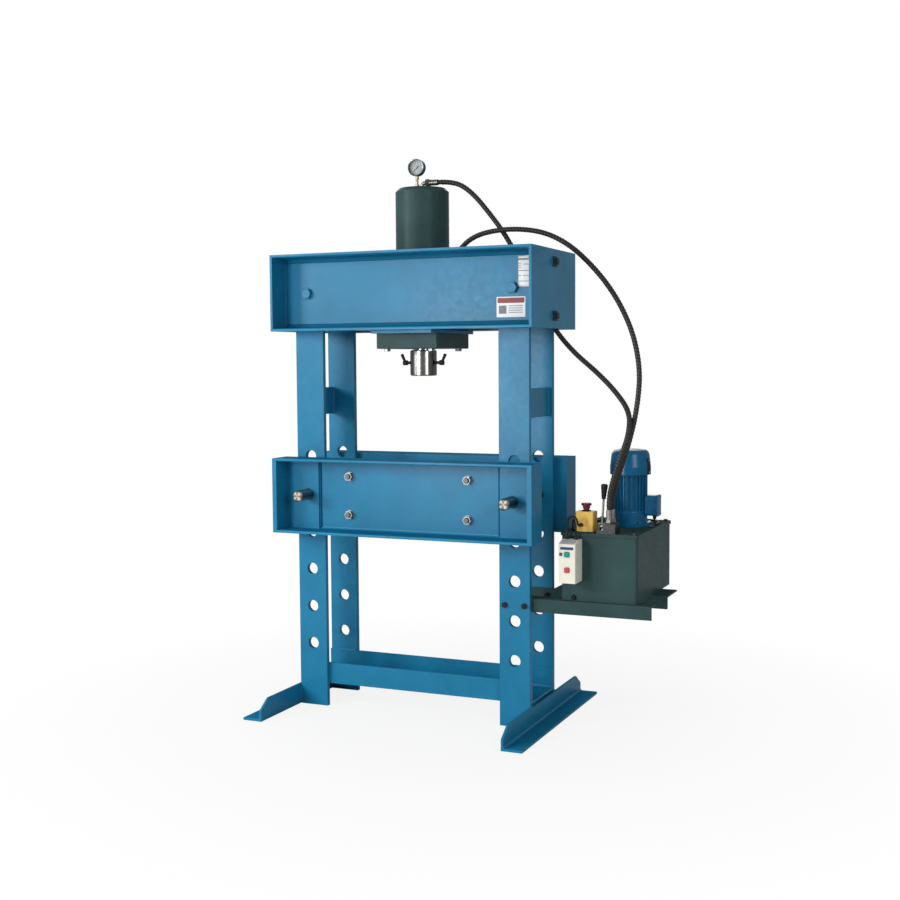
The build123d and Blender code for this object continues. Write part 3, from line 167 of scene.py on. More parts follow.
def blank_material(name, metal):
    """A new material, its nodes, its shader and the place on the object."""
    material = bpy.data.materials.new(name)
    material.use_nodes = True
    tree = material.node_tree
    shader = tree.nodes["Principled BSDF"]
    shader.inputs["Metallic"].default_value = metal
    return material, tree, shader, add(tree, "ShaderNodeTexCoord").outputs["Object"]


def clouds(tree, place, scale, detail, rough):
    """Soft noise that fills space."""
    settings = {"Vector": place, "Scale": scale, "Detail": detail, "Roughness": rough}
    return add(tree, "ShaderNodeTexNoise", settings).outputs["Fac"]


def ramp(tree, value, stops):
    """Colours picked by a value, from stops of position and colour."""
    node = add(tree, "ShaderNodeValToRGB", {"Fac": value})
    while len(node.color_ramp.elements) < len(stops):
        node.color_ramp.elements.new(0.5)
    for element, (position, colour) in zip(node.color_ramp.elements, stops):
        element.position = position
        element.color = colour
    return node


def soft_edges(tree, radius):
    """Normals rounded off at edges, the faces' own normals, and 1 along edges, for worn paint and for painted
    highlights on metal.
    """
    soft = add(tree, "ShaderNodeBevel", {"Radius": radius}, samples=4).outputs["Normal"]
    face = add(tree, "ShaderNodeNewGeometry").outputs["Normal"]
    lean = add(tree, "ShaderNodeVectorMath", {0: soft, 1: face}, operation="DOT_PRODUCT").outputs["Value"]
    return soft, face, remap(tree, lean, (0.985, 0.8), unit)


def feed(tree, shader, sockets):
    """Links values to a shader's inputs."""
    for name, value in sockets.items():
        tree.links.new(value, shader.inputs[name])


patch_scale = 6.0
speck_scale = 45.0
worn_lift = 0.015
peel_depth = 0.0006
dust_rough = 0.9
dust_shine_share = 0.1


def enamel(
    name, colour, deep=0.86, pale=1.1, rough=(0.36, 0.5), grain=300.0, peel=0.12, worn=1.35, edge=0.0014,
    metal=0.0, shine=0.2, dusty=0.0,
):
    """Sprayed paint: cloudy colour, uneven gloss, fine orange peel, thin pale edges and dust on upper faces."""
    material, tree, shader, place = blank_material(name, metal)
    patches = clouds(tree, place, patch_scale, 7.0, 0.62)
    tone = ramp(tree, patches, [(0.3, shade(colour, deep)), (0.72, shade(colour, pale))]).outputs["Color"]
    soft, face, wear_and_highlight_mask = soft_edges(tree, edge)
    specks = clouds(tree, place, speck_scale, 4.0, 0.6)
    chance = remap(tree, specks, (0.4, 0.62), (0.2, 0.9))
    worn_and_highlit = add(tree, "ShaderNodeMath", {0: wear_and_highlight_mask, 1: chance}, operation="MULTIPLY").outputs[0]
    bare = shade(colour, worn, worn_lift)
    paint = add(tree, "ShaderNodeMixRGB", {"Fac": worn_and_highlit, "Color1": tone, "Color2": bare})
    gloss = remap(tree, specks, (0.3, 0.7), rough)
    upward = add(tree, "ShaderNodeSeparateXYZ", {"Vector": face}).outputs["Z"]
    dust = remap(tree, upward, (0.8, 0.98), (0.0, dusty))
    dulled = add(tree, "ShaderNodeMix", {"Factor": dust, "A": gloss, "B": dust_rough})
    skin = clouds(tree, place, grain, 3.0, 0.55)
    relief = {"Strength": peel, "Distance": peel_depth, "Height": skin, "Normal": soft}
    feed(tree, shader, {
        "Base Color": paint.outputs["Color"],
        "Roughness": dulled.outputs["Result"],
        "Specular IOR Level": remap(tree, dust, unit, (shine, shine * dust_shine_share)),
        "Normal": add(tree, "ShaderNodeBump", relief).outputs["Normal"],
    })
    return material


frame_paint = enamel("frame_paint", (0.010, 0.174, 0.322), rough=(0.27, 0.36), shine=0.21, dusty=1.0)
dress(
    frame_paint, "left_foot", "right_foot", "front_left_upright", "front_right_upright",
    "rear_left_upright", "rear_right_upright",
)


def start(operator, **size):
    """A fresh primitive, selected alone."""
    bpy.ops.object.select_all(action="DESELECT")
    operator(**size)
    return bpy.context.object


def edit_all():
    """Opens the active mesh with all of it selected."""
    bpy.ops.object.mode_set(mode="EDIT")
    bpy.ops.mesh.select_all(action="SELECT")


def close_mesh():
    """Turns all faces outward and closes the mesh."""
    bpy.ops.mesh.select_all(action="SELECT")
    bpy.ops.mesh.normals_make_consistent(inside=False)
    bpy.ops.object.mode_set(mode="OBJECT")


def smooth(angle):
    """Smooth shading, apart from edges sharper than an angle in degrees."""
    bpy.ops.object.shade_smooth_by_angle(angle=math.radians(angle))


def join(name, pieces):
    """Several meshes made one piece."""
    bpy.ops.object.select_all(action="DESELECT")
    for piece in pieces:
        piece.select_set(True)
    bpy.context.view_layer.objects.active = pieces[0]
    if len(pieces) > 1:
        bpy.ops.object.join()
    pieces[0].name = name
    pieces[0].data.name = name
    return pieces[0]


def finish_piece(piece, material, body):
    """Gives a new piece its finish, in its one slot, and its body."""
    piece.data.materials.clear()
    piece.data.materials.append(material)
    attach(piece, body)
    return piece


bead_pitch = 0.0045
bead_waist = 0.9
bead_swell = 1.17
bead_crest = 0.15


def bead(low, high, radius=0.004):
    """A run of weld ripples between two places in millimetres."""
    foot = spot(*low)
    way = spot(*high) - foot
    piece = start(
        bpy.ops.mesh.primitive_cylinder_add, vertices=10, radius=radius * bead_waist, depth=bead_pitch,
        end_fill_type="NOTHING",
    )
    edit_all()
    bpy.ops.mesh.bisect(plane_co=(0.0, 0.0, bead_pitch * bead_crest), plane_no=(0.0, 0.0, 1.0))
    bpy.ops.transform.resize(value=(bead_swell, bead_swell, 1.0))
    bpy.ops.object.mode_set(mode="OBJECT")
    ripples = piece.modifiers.new("ripples", "ARRAY")
    ripples.use_relative_offset = False
    ripples.use_constant_offset = True
    ripples.constant_offset_displace = (0.0, 0.0, bead_pitch)
    ripples.count = max(2, round(way.length / bead_pitch))
    ripples.use_merge_vertices = True
    ripples.merge_threshold = 0.0001
    bpy.ops.object.modifier_apply(modifier="ripples")
    bpy.ops.object.mode_set(mode="EDIT")
    bpy.ops.mesh.select_all(action="DESELECT")
    bpy.ops.mesh.select_non_manifold()
    bpy.ops.mesh.edge_face_add()
    close_mesh()
    bpy.ops.object.shade_smooth()
    piece.data.transform(
        Matrix.Translation(foot)
        @ way.to_track_quat("Z", "Y").to_matrix().to_4x4()
        @ Matrix.Translation((0.0, 0.0, bead_pitch / 2.0))
    )
    return piece


upright_inner = 120
upright_outer = 140
foot_weld_x = 491
foot_weld_low = 9
foot_weld_high = 78
foot_cap_x = 493
foot_cap_height = 80
foot_runs = []
for side, row in corners:
    x = side * foot_weld_x
    for y in (row * upright_inner, row * upright_outer):
        foot_runs.append(bead((x, y, foot_weld_low), (x, y, foot_weld_high)))
    cap_x = side * foot_cap_x
    foot_runs.append(
        bead((cap_x, row * upright_inner, foot_cap_height), (cap_x, row * upright_outer, foot_cap_height))
    )
finish_piece(join("foot_welds", foot_runs), frame_paint, "frame")

# Cross channel and spacer plates: they tie the front uprights to the rear ones, low down and below the head.
# Folded and flat steel, welded between the bars and painted with them.
dress(frame_paint, "cross_channel", "column_spacer_plates")
cross_end_x = 369
cross_end_y = upright_inner + 1
cross_end_low = 90
cross_end_high = 169
seam_y = upright_inner - 1
seam_height = 171
seam_from = 371
seam_to = 489
spacer_faces = (466, 474)
spacer_low = 1160
spacer_high = 1266
tie_runs = []
for side, row in corners:
    x, y = side * cross_end_x, row * cross_end_y
    tie_runs.append(bead((x, y, cross_end_low), (x, y, cross_end_high)))
    y = row * seam_y
    tie_runs.append(bead((side * seam_from, y, seam_height), (side * seam_to, y, seam_height)))
    for face in spacer_faces:
        tie_runs.append(bead((side * face, y, spacer_low), (side * face, y, spacer_high)))
finish_piece(join("cross_welds", tie_runs), frame_paint, "frame")

# Head beam: two rolled channels back to back, closed by a plate at each end and bolted to the uprights.
# The bolts are painted over with the beam; the four end bolts are black and sit on square washers.
# Two plain stickers with grey fields and a red band are on the front web, at the right.
dress(frame_paint, "front_head_channel", "rear_head_channel", "head_end_plates", "head_bolts")
head_end = 530
head_web = 150
head_tip = 250
head_low = 1502
head_high = 1775
corner_gap = 4
head_runs = []
for side, row in corners:
    x, web = side * head_end, row * head_web
    head_runs.append(bead((x, web, head_low + corner_gap), (x, web, head_high - corner_gap), 0.0035))
    near, far = row * (head_web + corner_gap), row * (head_tip - corner_gap)
    for height in (head_low + 1, head_high - 1):
        head_runs.append(bead((x, near, height), (x, far, height), 0.003))
finish_piece(join("head_welds", head_runs), frame_paint, "frame")


def prism(section, left, right):
    """A long bar along X: a closed section of (Y, Z) corners, drawn out from its left end."""
    piece = start(bpy.ops.mesh.primitive_circle_add, vertices=len(section), radius=0.01, fill_type="NGON")
    for corner, (across, height) in zip(piece.data.vertices, section):
        corner.co = spot(left, across, height)
    edit_all()
    bpy.ops.mesh.extrude_region_move(TRANSFORM_OT_translate={"value": ((right - left) / 1000.0, 0.0, 0.0)})
    close_mesh()
    smooth(30.0)
    return piece


root_radius = 18.0
root_steps = 12
root_sink = 0.2
head_roots = []
for row in (-1, 1):
    for inner, way in ((head_low, 1), (head_high, -1)):
        root = [(row * (head_web - root_sink), inner - way * root_sink)]
        for step in range(root_steps + 1):
            angle = math.radians(90.0 * step / root_steps)
            root.append((
                row * (head_web + root_radius - root_radius * math.sin(angle)),
                inner + way * (root_radius - root_radius * math.cos(angle)),
            ))
        head_roots.append(prism(root, -head_end, head_end))
# The root strips are painted a deeper blue than the beam: painted shade in the corners between web and flanges.
root_shade_paint = enamel("root_shade_paint", (0.006, 0.120, 0.230), rough=(0.4, 0.52), shine=0.08, dusty=1.0)
finish_piece(join("head_channel_roots", head_roots), root_shade_paint, "frame")


def turned(section, seat, axis, steps=40, angle=35.0):
    """A lathe-turned piece: a closed section of (radius, height) corners, spun round an axis from its seat."""
    piece = start(bpy.ops.mesh.primitive_circle_add, vertices=len(section), radius=0.01)
    for corner, (radius, height) in zip(piece.data.vertices, section):
        corner.co = (radius / 1000.0, 0.0, height / 1000.0)
    edit_all()
    bpy.ops.mesh.spin(steps=steps, angle=math.tau, center=(0.0, 0.0, 0.0), axis=(0.0, 0.0, 1.0))
    bpy.ops.mesh.select_all(action="SELECT")
    bpy.ops.mesh.remove_doubles(threshold=0.00002)
    close_mesh()
    smooth(angle)
    stand = Vector(axis).to_track_quat("Z", "Y").to_matrix().to_4x4()
    piece.data.transform(Matrix.Translation(seat) @ stand)
    return piece


def washer(seat, axis, hole, rim, thick):
    """A round washer with softened edges."""
    soft = thick * 0.3
    flat = thick - soft
    section = [(hole, 0), (rim, 0), (rim, flat), (rim - soft, thick), (hole + soft, thick), (hole, flat)]
    return turned(section, seat, axis)


column_x = 430
head_bolt_height = 1638.5
head_washers = []
for side, row in corners:
    seat = spot(side * column_x, row * head_web, head_bolt_height)
    head_washers.append(washer(seat, (0, row, 0), 17.5, 24.0, 2.5))
finish_piece(join("head_washers", head_washers), frame_paint, "frame")

black_steel = enamel(
    "black_steel", (0.016, 0.017, 0.019), rough=(0.34, 0.5), worn=3.0, edge=0.0008, grain=700.0, metal=0.4,
)
bolt_black = enamel(
    "bolt_black", (0.026, 0.036, 0.042), rough=(0.4, 0.55), worn=2.0, edge=0.0008, grain=700.0,
)
dress(bolt_black, "head_end_bolts")


def slab(left, low, right, high, front, thick, corner):
    """A thin plate with rounded corners on a face that looks forward."""
    piece = start(bpy.ops.mesh.primitive_cube_add, size=1.0)
    size = spot(right, front, high) - spot(left, front - thick, low)
    middle = (spot(left, front, low) + spot(right, front - thick, high)) / 2.0
    piece.data.transform(Matrix.Translation(middle) @ Matrix.Diagonal((*size, 1.0)))
    bpy.ops.object.mode_set(mode="EDIT")
    bpy.ops.mesh.select_all(action="DESELECT")
    bpy.ops.object.mode_set(mode="OBJECT")
    for line in piece.data.edges:
        first, last = (piece.data.vertices[index].co for index in line.vertices)
        line.select = abs(first.y - last.y) > size.y / 2.0
    bpy.ops.object.mode_set(mode="EDIT")
    bpy.ops.mesh.select_mode(type="EDGE")
    bpy.ops.mesh.bevel(offset=corner / 1000.0, segments=6)
    bpy.ops.object.mode_set(mode="OBJECT")
    smooth(40.0)
    return piece


def plate(name, outlines, front, thick, corner, material):
    """One or more thin plates on the same face, made one piece."""
    slabs = [slab(*outline, front, thick, corner) for outline in outlines]
    return finish_piece(join(name, slabs), material, "frame")


printed = {"rough": (0.25, 0.34), "peel": 0.02}
label_foil = enamel("label_foil", (0.80, 0.81, 0.80), deep=0.97, pale=1.02, worn=0.9, **printed)
label_red = enamel("label_red", (0.23, 0.025, 0.03), deep=0.93, pale=1.05, worn=0.9, **printed)
label_grey = enamel("label_grey", (0.16, 0.17, 0.18), deep=0.95, pale=1.05, worn=1.0, **printed)
foil_thick = 0.5
foil_face = -head_web - foil_thick
line_width = 2.5
upper_plate = (450, 1641, 500, 1753)
lower_plate = (367, 1531, 480, 1606)
plate("blank_plates", [upper_plate, lower_plate], -head_web, foil_thick, 4, label_foil)
plate("lower_plate_band", [(371, 1583, 476, 1602)], foil_face, 0.3, 3, label_red)
grey_fields = [(454, 1738, 496, 1744), (376, 1544, 406, 1574)]
for left, right, heights in (
    (454, 464, (1725, 1717, 1709, 1680)), (470, 496, (1721, 1680)), (454, 496, (1698, 1660)),
    (414, 470, (1571, 1563, 1555, 1547)),
):
    for height in heights:
        grey_fields.append((left, height, right, height + line_width))
plate("plate_fields", grey_fields, foil_face, 0.2, 1.0, label_grey)

# Cylinder: a welded tube with a thick cap, seated in a block that four bolts hold to the mount plate.
# Block and tube are sprayed a dark grey green; the bush is bronze and the wiper is black rubber.
unit_paint = enamel(
    "unit_paint", (0.034, 0.069, 0.071), deep=0.8, pale=1.2, rough=(0.3, 0.42), grain=420.0, worn=1.9,
    shine=0.07, dusty=0.8,
)
dress(unit_paint, "cylinder_flange_block", "cylinder_barrel")
dress(frame_paint, "cylinder_mount_plate")

metal_edge = 0.0008
cut_depth = 0.0003


def bare_metal(
    name, colour, rough=(0.2, 0.34), stretch=(1.0, 1.0, 1.0), streak=60.0, cut=0.1, deep=0.8, edge_highlight=1.5,
):
    """Bare or plated metal: tool marks drawn out along one way, uneven gloss, softened edges and a painted
    highlight along them.
    """
    material, tree, shader, place = blank_material(name, 1.0)
    drawn = add(tree, "ShaderNodeMapping", {"Vector": place, "Scale": stretch}).outputs["Vector"]
    marks = clouds(tree, drawn, streak, 5.0, 0.65)
    tone = ramp(tree, marks, [(0.32, shade(colour, deep)), (0.68, shade(colour, 1.0))]).outputs["Color"]
    soft, face, wear_and_highlight_mask = soft_edges(tree, metal_edge)
    # Edges get a paler colour: a painted highlight along them.
    worn_and_highlit = add(tree, "ShaderNodeMixRGB", {"Fac": wear_and_highlight_mask, "Color1": tone, "Color2": shade(colour, edge_highlight)})
    relief = {"Strength": cut, "Distance": cut_depth, "Height": marks, "Normal": soft}
    feed(tree, shader, {
        "Base Color": worn_and_highlit.outputs["Color"],
        "Roughness": remap(tree, marks, (0.3, 0.7), (rough[1], rough[0])),
        "Normal": add(tree, "ShaderNodeBump", relief).outputs["Normal"],
    })
    return material


zinc_plate = bare_metal(
    "zinc_plate", (0.36, 0.385, 0.395), rough=(0.38, 0.52), streak=160.0, cut=0.06, deep=0.5, edge_highlight=2.0,
)
dress(zinc_plate, "flange_bolts")
bronze = bare_metal("bronze", (0.36, 0.27, 0.14), rough=(0.25, 0.4), streak=180.0, deep=0.6)
dress(bronze, "rod_bush")


def rubbery(name, colour, rough=(0.5, 0.68), grain=260.0, relief=0.15):
    """Moulded rubber or plastic: one colour, slightly cloudy, with a fine moulded grain."""
    return enamel(name, colour, deep=0.9, pale=1.08, rough=rough, grain=grain, peel=relief, worn=1.2, edge=0.0006)


black_rubber = rubbery("black_rubber", (0.014, 0.014, 0.015))
dress(black_rubber, "rod_wiper", "piston_seal")

# Ram: a ground rod with its piston, and a polished sleeve at the end that takes the press tools.
# Two black clamp screws with small bent arms hold the tool in the sleeve.
ground_steel = bare_metal(
    "ground_steel", (0.52, 0.53, 0.54), rough=(0.12, 0.24), stretch=(1.0, 1.0, 14.0), streak=40.0, deep=0.6,
)
dress(ground_steel, "piston_rod")
dress(black_steel, "piston")


def turned_steel(name, middle, turn, reflection_tones, tint, rough, streak):
    """Turned and hand-polished steel: painted reflections as bright and dark bands round the axis, and fine tool
    marks.
    """
    material = bare_metal(name, tint, rough=rough, streak=streak, deep=0.7, cut=0.05)
    tree = material.node_tree
    place = add(tree, "ShaderNodeTexCoord").outputs["Object"]
    centred = add(
        tree, "ShaderNodeMapping", {"Vector": place, "Location": middle, "Rotation": turn},
        vector_type="TEXTURE",
    ).outputs["Vector"]
    round_axis = add(tree, "ShaderNodeTexGradient", {"Vector": centred}, gradient_type="RADIAL")
    reflection_bands = ramp(
        tree, round_axis.outputs["Fac"], [(position, (tone, tone, tone, 1.0)) for position, tone in reflection_tones],
    )
    reflection_bands.color_ramp.interpolation = "EASE"
    shader = tree.nodes["Principled BSDF"]
    plain = shader.inputs["Base Color"].links[0].from_socket
    with_reflections = add(
        tree, "ShaderNodeMixRGB", {"Fac": 1.0, "Color1": plain, "Color2": reflection_bands.outputs["Color"]},
        blend_type="MULTIPLY",
    )
    feed(tree, shader, {"Base Color": with_reflections.outputs["Color"]})
    return material


# Painted reflections: the sleeve's bright and dark streaks are bands of colour fixed round its axis.
sleeve_middle = spot(0, 0, 1365)
sleeve_reflections = [
    (0.0, 0.30), (0.07, 0.26), (0.16, 0.24), (0.185, 0.36), (0.199, 0.95), (0.213, 0.60), (0.238, 0.45),
    (0.268, 0.95), (0.29, 0.40), (0.33, 0.32), (0.352, 0.45), (0.3656, 0.95), (0.38, 0.40), (0.42, 0.24),
    (0.52, 0.2), (0.58, 0.26), (0.62, 0.7), (0.65, 0.34), (0.71, 0.28), (0.745, 0.95), (0.77, 0.4),
    (0.83, 0.26), (0.88, 0.6), (0.91, 0.34), (1.0, 0.3),
]
sleeve_steel = turned_steel(
    "sleeve_steel", sleeve_middle, (0.0, 0.0, 0.0), sleeve_reflections, (0.86, 0.85, 0.81), (0.16, 0.26), 120.0,
)
dress(sleeve_steel, "ram_tool_holder")
dress(black_steel, "left_clamp_lever", "right_clamp_lever")

# Pressure gauge: a black case with a rolled steel rim, a pale dial with a plain scale, and a plated stem.
# The needle turns on a pin through the dial, behind a flat glass.
gauge_black = rubbery("gauge_black", (0.02, 0.021, 0.022), rough=(0.3, 0.42))
dress(gauge_black, "gauge_case", "gauge_needle")
dial_card = enamel(
    "dial_card", (0.40, 0.44, 0.44), deep=0.96, pale=1.03, rough=(0.45, 0.55), peel=0.02, worn=1.0,
)
dress(dial_card, "gauge_dial")
stem_metal = bare_metal("stem_metal", (0.42, 0.37, 0.29), rough=(0.26, 0.4), streak=180.0, deep=0.6)
dress(stem_metal, "gauge_stem")
glass_share = 0.06
gauge_glass = enamel(
    "gauge_glass", (0.8, 0.84, 0.86), deep=0.98, pale=1.02, rough=(0.03, 0.06), peel=0.0, worn=1.0,
)
gauge_glass.node_tree.nodes["Principled BSDF"].inputs["Alpha"].default_value = glass_share
dress(gauge_glass, "gauge_lens")
gauge_seat = spot(-12, -21, 2117)
rim_section = [
    (29.4, 9.5), (29.4, 13.2), (30.4, 14.2), (32.0, 14.4), (33.0, 13.6), (33.3, 12.0), (33.3, 6.0),
    (32.45, 5.0), (32.45, 11.0), (31.0, 12.2),
]
gauge_rim = turned(rim_section, gauge_seat, (0, -1, 0), steps=56)
gauge_rim.name = "gauge_rim"
rim_steel = bare_metal("rim_steel", (0.20, 0.22, 0.22), rough=(0.16, 0.28), streak=120.0, deep=0.6)
finish_piece(gauge_rim, rim_steel, "frame")


def block(size, edge, rounds):
    """A small block about its own middle, with softened edges."""
    piece = start(bpy.ops.mesh.primitive_cube_add, size=1.0)
    piece.data.transform(Matrix.Diagonal((*size, 1.0)))
    edit_all()
    bpy.ops.mesh.bevel(offset=edge, segments=rounds)
    bpy.ops.object.mode_set(mode="OBJECT")
    return piece


dial_face = -0.020
ink = 0.0002
scale_from = 225.0
scale_sweep = 270.0
scale_marks = 40
scale_radius = 0.0265
figures = ("0", "100", "200", "300", "400")
figure_radius = 0.0162
figure_size = 0.0052
dial_middle = Matrix.Translation((gauge_seat.x, dial_face, gauge_seat.z))
ticks = []
for step in range(scale_marks + 1):
    turn = math.radians(scale_from - step * scale_sweep / scale_marks)
    length = 0.0046 if step % 10 == 0 else (0.0036 if step % 5 == 0 else 0.0022)
    width = 0.0006 if step % 5 == 0 else 0.0003
    tick = block((length, ink, width), 0.00005, 1)
    tick.data.transform(
        dial_middle
        @ Matrix.Rotation(-turn, 4, "Y")
        @ Matrix.Translation((scale_radius - length / 2.0, -ink / 2.0, 0.0))
    )
    ticks.append(tick)
for step, number in enumerate(figures):
    turn = math.radians(scale_from - step * scale_sweep / (len(figures) - 1))
    figure = start(bpy.ops.object.text_add)
    figure.data.body = number
    figure.data.size = figure_size
    figure.data.align_x = "CENTER"
    figure.data.align_y = "CENTER"
    figure.data.extrude = ink / 2.0
    bpy.ops.object.convert(target="MESH")
    outward = Vector((math.cos(turn), 0.0, math.sin(turn))) * figure_radius
    figure.data.transform(
        dial_middle
        @ Matrix.Translation(outward + Vector((0.0, -ink / 2.0, 0.0)))
        @ Matrix.Rotation(math.radians(90.0), 4, "X")
    )
    ticks.append(figure)
finish_piece(join("dial_scale", ticks), gauge_black, "frame")

# Table: two channels held together by four tie rods, with welded pads round the pin holes.
# It rests on two turned steel pins that go through the uprights; nuts and rods are zinc plated.
dress(frame_paint, "front_table_channel", "rear_table_channel")
dress(zinc_plate, "table_tie_rods")
pin_height = 850
pin_turn = (math.radians(90.0), 0.0, 0.0)
# Painted reflections: bright and dark sectors round each pin's axis, on its end face and its shaft.
pin_reflections = [
    (0.0, 0.16), (0.06, 0.30), (0.11, 0.75), (0.17, 0.28), (0.24, 0.17), (0.30, 0.5), (0.36, 0.85),
    (0.43, 0.34), (0.50, 0.18), (0.57, 0.4), (0.63, 0.8), (0.70, 0.32), (0.77, 0.2), (0.84, 0.55),
    (0.88, 0.7), (0.94, 0.3), (1.0, 0.16),
]
for side, name in ((-1, "left"), (1, "right")):
    pin_steel = turned_steel(
        name + "_pin_steel", spot(side * column_x, 0, pin_height), pin_turn, pin_reflections, (0.66, 0.63, 0.57),
        (0.42, 0.52), 150.0,
    )
    dress(pin_steel, name + "_table_pin")
table_web = 155
pad_edge = 380
pad_end = 520
pad_low = 720
pad_high = 980
table_runs = []
for side, row in corners:
    x, y = side * pad_edge, row * table_web
    table_runs.append(bead((x, y, pad_low + 2), (x, y, pad_high - 2), 0.0068))
    for height in (pad_low, pad_high):
        table_runs.append(bead((side * (pad_edge + 3), y, height), (side * pad_end, y, height), 0.0042))
# The table's weld beads are real, but painted a deeper blue than the frame: painted shade along the pad edges.
weld_shade_paint = enamel("weld_shade_paint", (0.003, 0.088, 0.19), rough=(0.38, 0.52), shine=0.06, worn=1.2)
finish_piece(join("table_welds", table_runs), weld_shade_paint, "frame")
tie_x = 250
tie_heights = (775, 925)
rod_end_y = 170.8
thread_section = [
    (0, 0), (10.6, 0), (10.6, 1), (10.2, 2), (10.6, 3), (10.2, 4), (10.6, 5), (10.2, 6), (8.8, 7.2), (0, 7.2),
]
tie_washers = []
rod_ends = []
for side, row in corners:
    for height in tie_heights:
        axis = (0, row, 0)
        tie_washers.append(washer(spot(side * tie_x, row * table_web, height), axis, 14.0, 18.6, 2.2))
        seat = spot(side * tie_x, row * rod_end_y, height)
        rod_ends.append(turned(thread_section, seat, axis, steps=28, angle=30.0))
rod_end_steel = bare_metal(
    "rod_end_steel", (0.15, 0.165, 0.17), rough=(0.42, 0.55), streak=160.0, deep=0.6,
)
finish_piece(join("tie_washers", tie_washers), zinc_plate, "frame")
finish_piece(join("tie_rod_ends", rod_ends), rod_end_steel, "frame")

# Tank and brackets: two angle brackets bolted to the right uprights carry a folded sheet tank.
# A thick lid with bolts closes it, and a plug low at the front drains it.
dress(unit_paint, "front_bracket_angle", "rear_bracket_angle", "tank", "tank_lid")
dress(black_steel, "bracket_bolts", "pump_body")
dress(ground_steel, "suction_strainer")
aged_zinc = bare_metal("aged_zinc", (0.13, 0.10, 0.08), rough=(0.4, 0.58), streak=260.0, deep=0.5)
dress(aged_zinc, "lid_bolts")
drain_seat = spot(648, -100, 500)
drain_section = [
    (0, 0), (10, 0), (10, 1.5), (9, 2.5), (7.5, 2.5), (7.5, 8.0), (6.7, 8.8), (3.4, 8.8), (3.4, 5.0), (0, 5.0),
]
drain = turned(drain_section, drain_seat, (0, -1, 0))
drain.name = "drain_plug"
finish_piece(drain, black_steel, "frame")

# Motor: a cast frame with cooling fins, a pressed fan cover and a terminal box, in deep blue enamel.
# It stands on the lid on a round flange and turns the pump below.
# A small black strip is screwed to the side of the fan cover.
motor_enamel = enamel(
    "motor_enamel", (0.0023, 0.099, 0.215), deep=0.8, pale=1.2, rough=(0.16, 0.26), grain=500.0, worn=2.0,
    shine=0.3,
)
dress(motor_enamel, "motor_frame", "motor_fan_cover", "motor_terminal_box")
dress(ground_steel, "motor_rotor")
dress(gauge_black, "motor_fan")


def screw_head(seat, axis, radius, height):
    """A pan head with a driver recess."""
    section = [
        (0, 0), (radius, 0), (radius, height * 0.35), (radius * 0.82, height * 0.85), (radius * 0.55, height),
        (radius * 0.4, height), (radius * 0.36, height * 0.45), (0, height * 0.45),
    ]
    return turned(section, seat, axis, steps=20)


motor_x = 782
motor_y = 185
flange_height = 755
flange_screw_circle = 71.5
flange_screws = []
for quarter in range(4):
    angle = math.radians(45.0 + 90.0 * quarter)
    x = motor_x + flange_screw_circle * math.cos(angle)
    y = motor_y + flange_screw_circle * math.sin(angle)
    flange_screws.append(screw_head(spot(x, y, flange_height), (0, 0, 1), 6.5, 6.0))
finish_piece(join("motor_flange_screws", flange_screws), motor_enamel, "frame")
box_face = 895
box_screw_reach = 21.5
box_screws = []
for y in (motor_y - box_screw_reach, motor_y + box_screw_reach):
    for height in (787, 852):
        box_screws.append(screw_head(spot(box_face, y, height), (1, 0, 0), 3.2, 2.2))
finish_piece(join("terminal_box_screws", box_screws), zinc_plate, "frame")

cover_tilt = Matrix.Rotation(math.radians(-3.4), 4, "Y")
cover_turn = Matrix.Translation(spot(motor_x, motor_y, 0)) @ Matrix.Rotation(math.radians(-11.0), 4, "Z")
cover_slope = 0.0594
strip_radius = 0.0768
strip_height = 0.969
strip_face = 0.0780
cover_strip = block((0.004, 0.024, 0.060), 0.0012, 3)
smooth(40.0)
cover_strip.data.transform(cover_turn @ Matrix.Translation((strip_radius, 0.0, strip_height)) @ cover_tilt)
cover_strip.name = "fan_cover_strip"
finish_piece(cover_strip, black_steel, "frame")
strip_screws = []
for height in (0.946, 0.991):
    head = screw_head(Vector((0.0, 0.0, 0.0)), (1, 0, 0), 5.0, 3.2)
    outward = strip_face - (height - strip_height) * cover_slope
    head.data.transform(cover_turn @ Matrix.Translation((outward, 0.0, height)))
    strip_screws.append(head)
finish_piece(join("fan_cover_screws", strip_screws), zinc_plate, "frame")

# Valve: a small cast body on the lid with a hand lever, a chromed rod under a black tapered knob.
# Two hose ends stand on its top.
valve_steel = bare_metal("valve_steel", (0.095, 0.1, 0.1), rough=(0.24, 0.42), streak=120.0, deep=0.45)
dress(valve_steel, "valve_body")
dress(ground_steel, "valve_lever")
knob_plastic = rubbery("knob_plastic", (0.012, 0.012, 0.013), rough=(0.2, 0.3), relief=0.03)
dress(knob_plastic, "valve_knob")

# Emergency stop: a yellow moulded box on the lid with a dark red mushroom button on top.
# A black collar holds the button in the box.
yellow_plastic = rubbery("yellow_plastic", (0.98, 0.61, 0.14), rough=(0.34, 0.44), relief=0.06)
dress(yellow_plastic, "estop_box")
mushroom_red = rubbery("mushroom_red", (0.13, 0.022, 0.02), rough=(0.2, 0.3), relief=0.03)
dress(mushroom_red, "estop_button")
collar_seat = spot(676, -33.5, 814)
collar_section = [(11, 0), (18, 0), (18, 1.5), (15.5, 3.6), (12, 3.8), (11, 3.2)]
collar = turned(collar_section, collar_seat, (0, 0, 1))
collar.name = "stop_collar"
finish_piece(collar, black_steel, "frame")

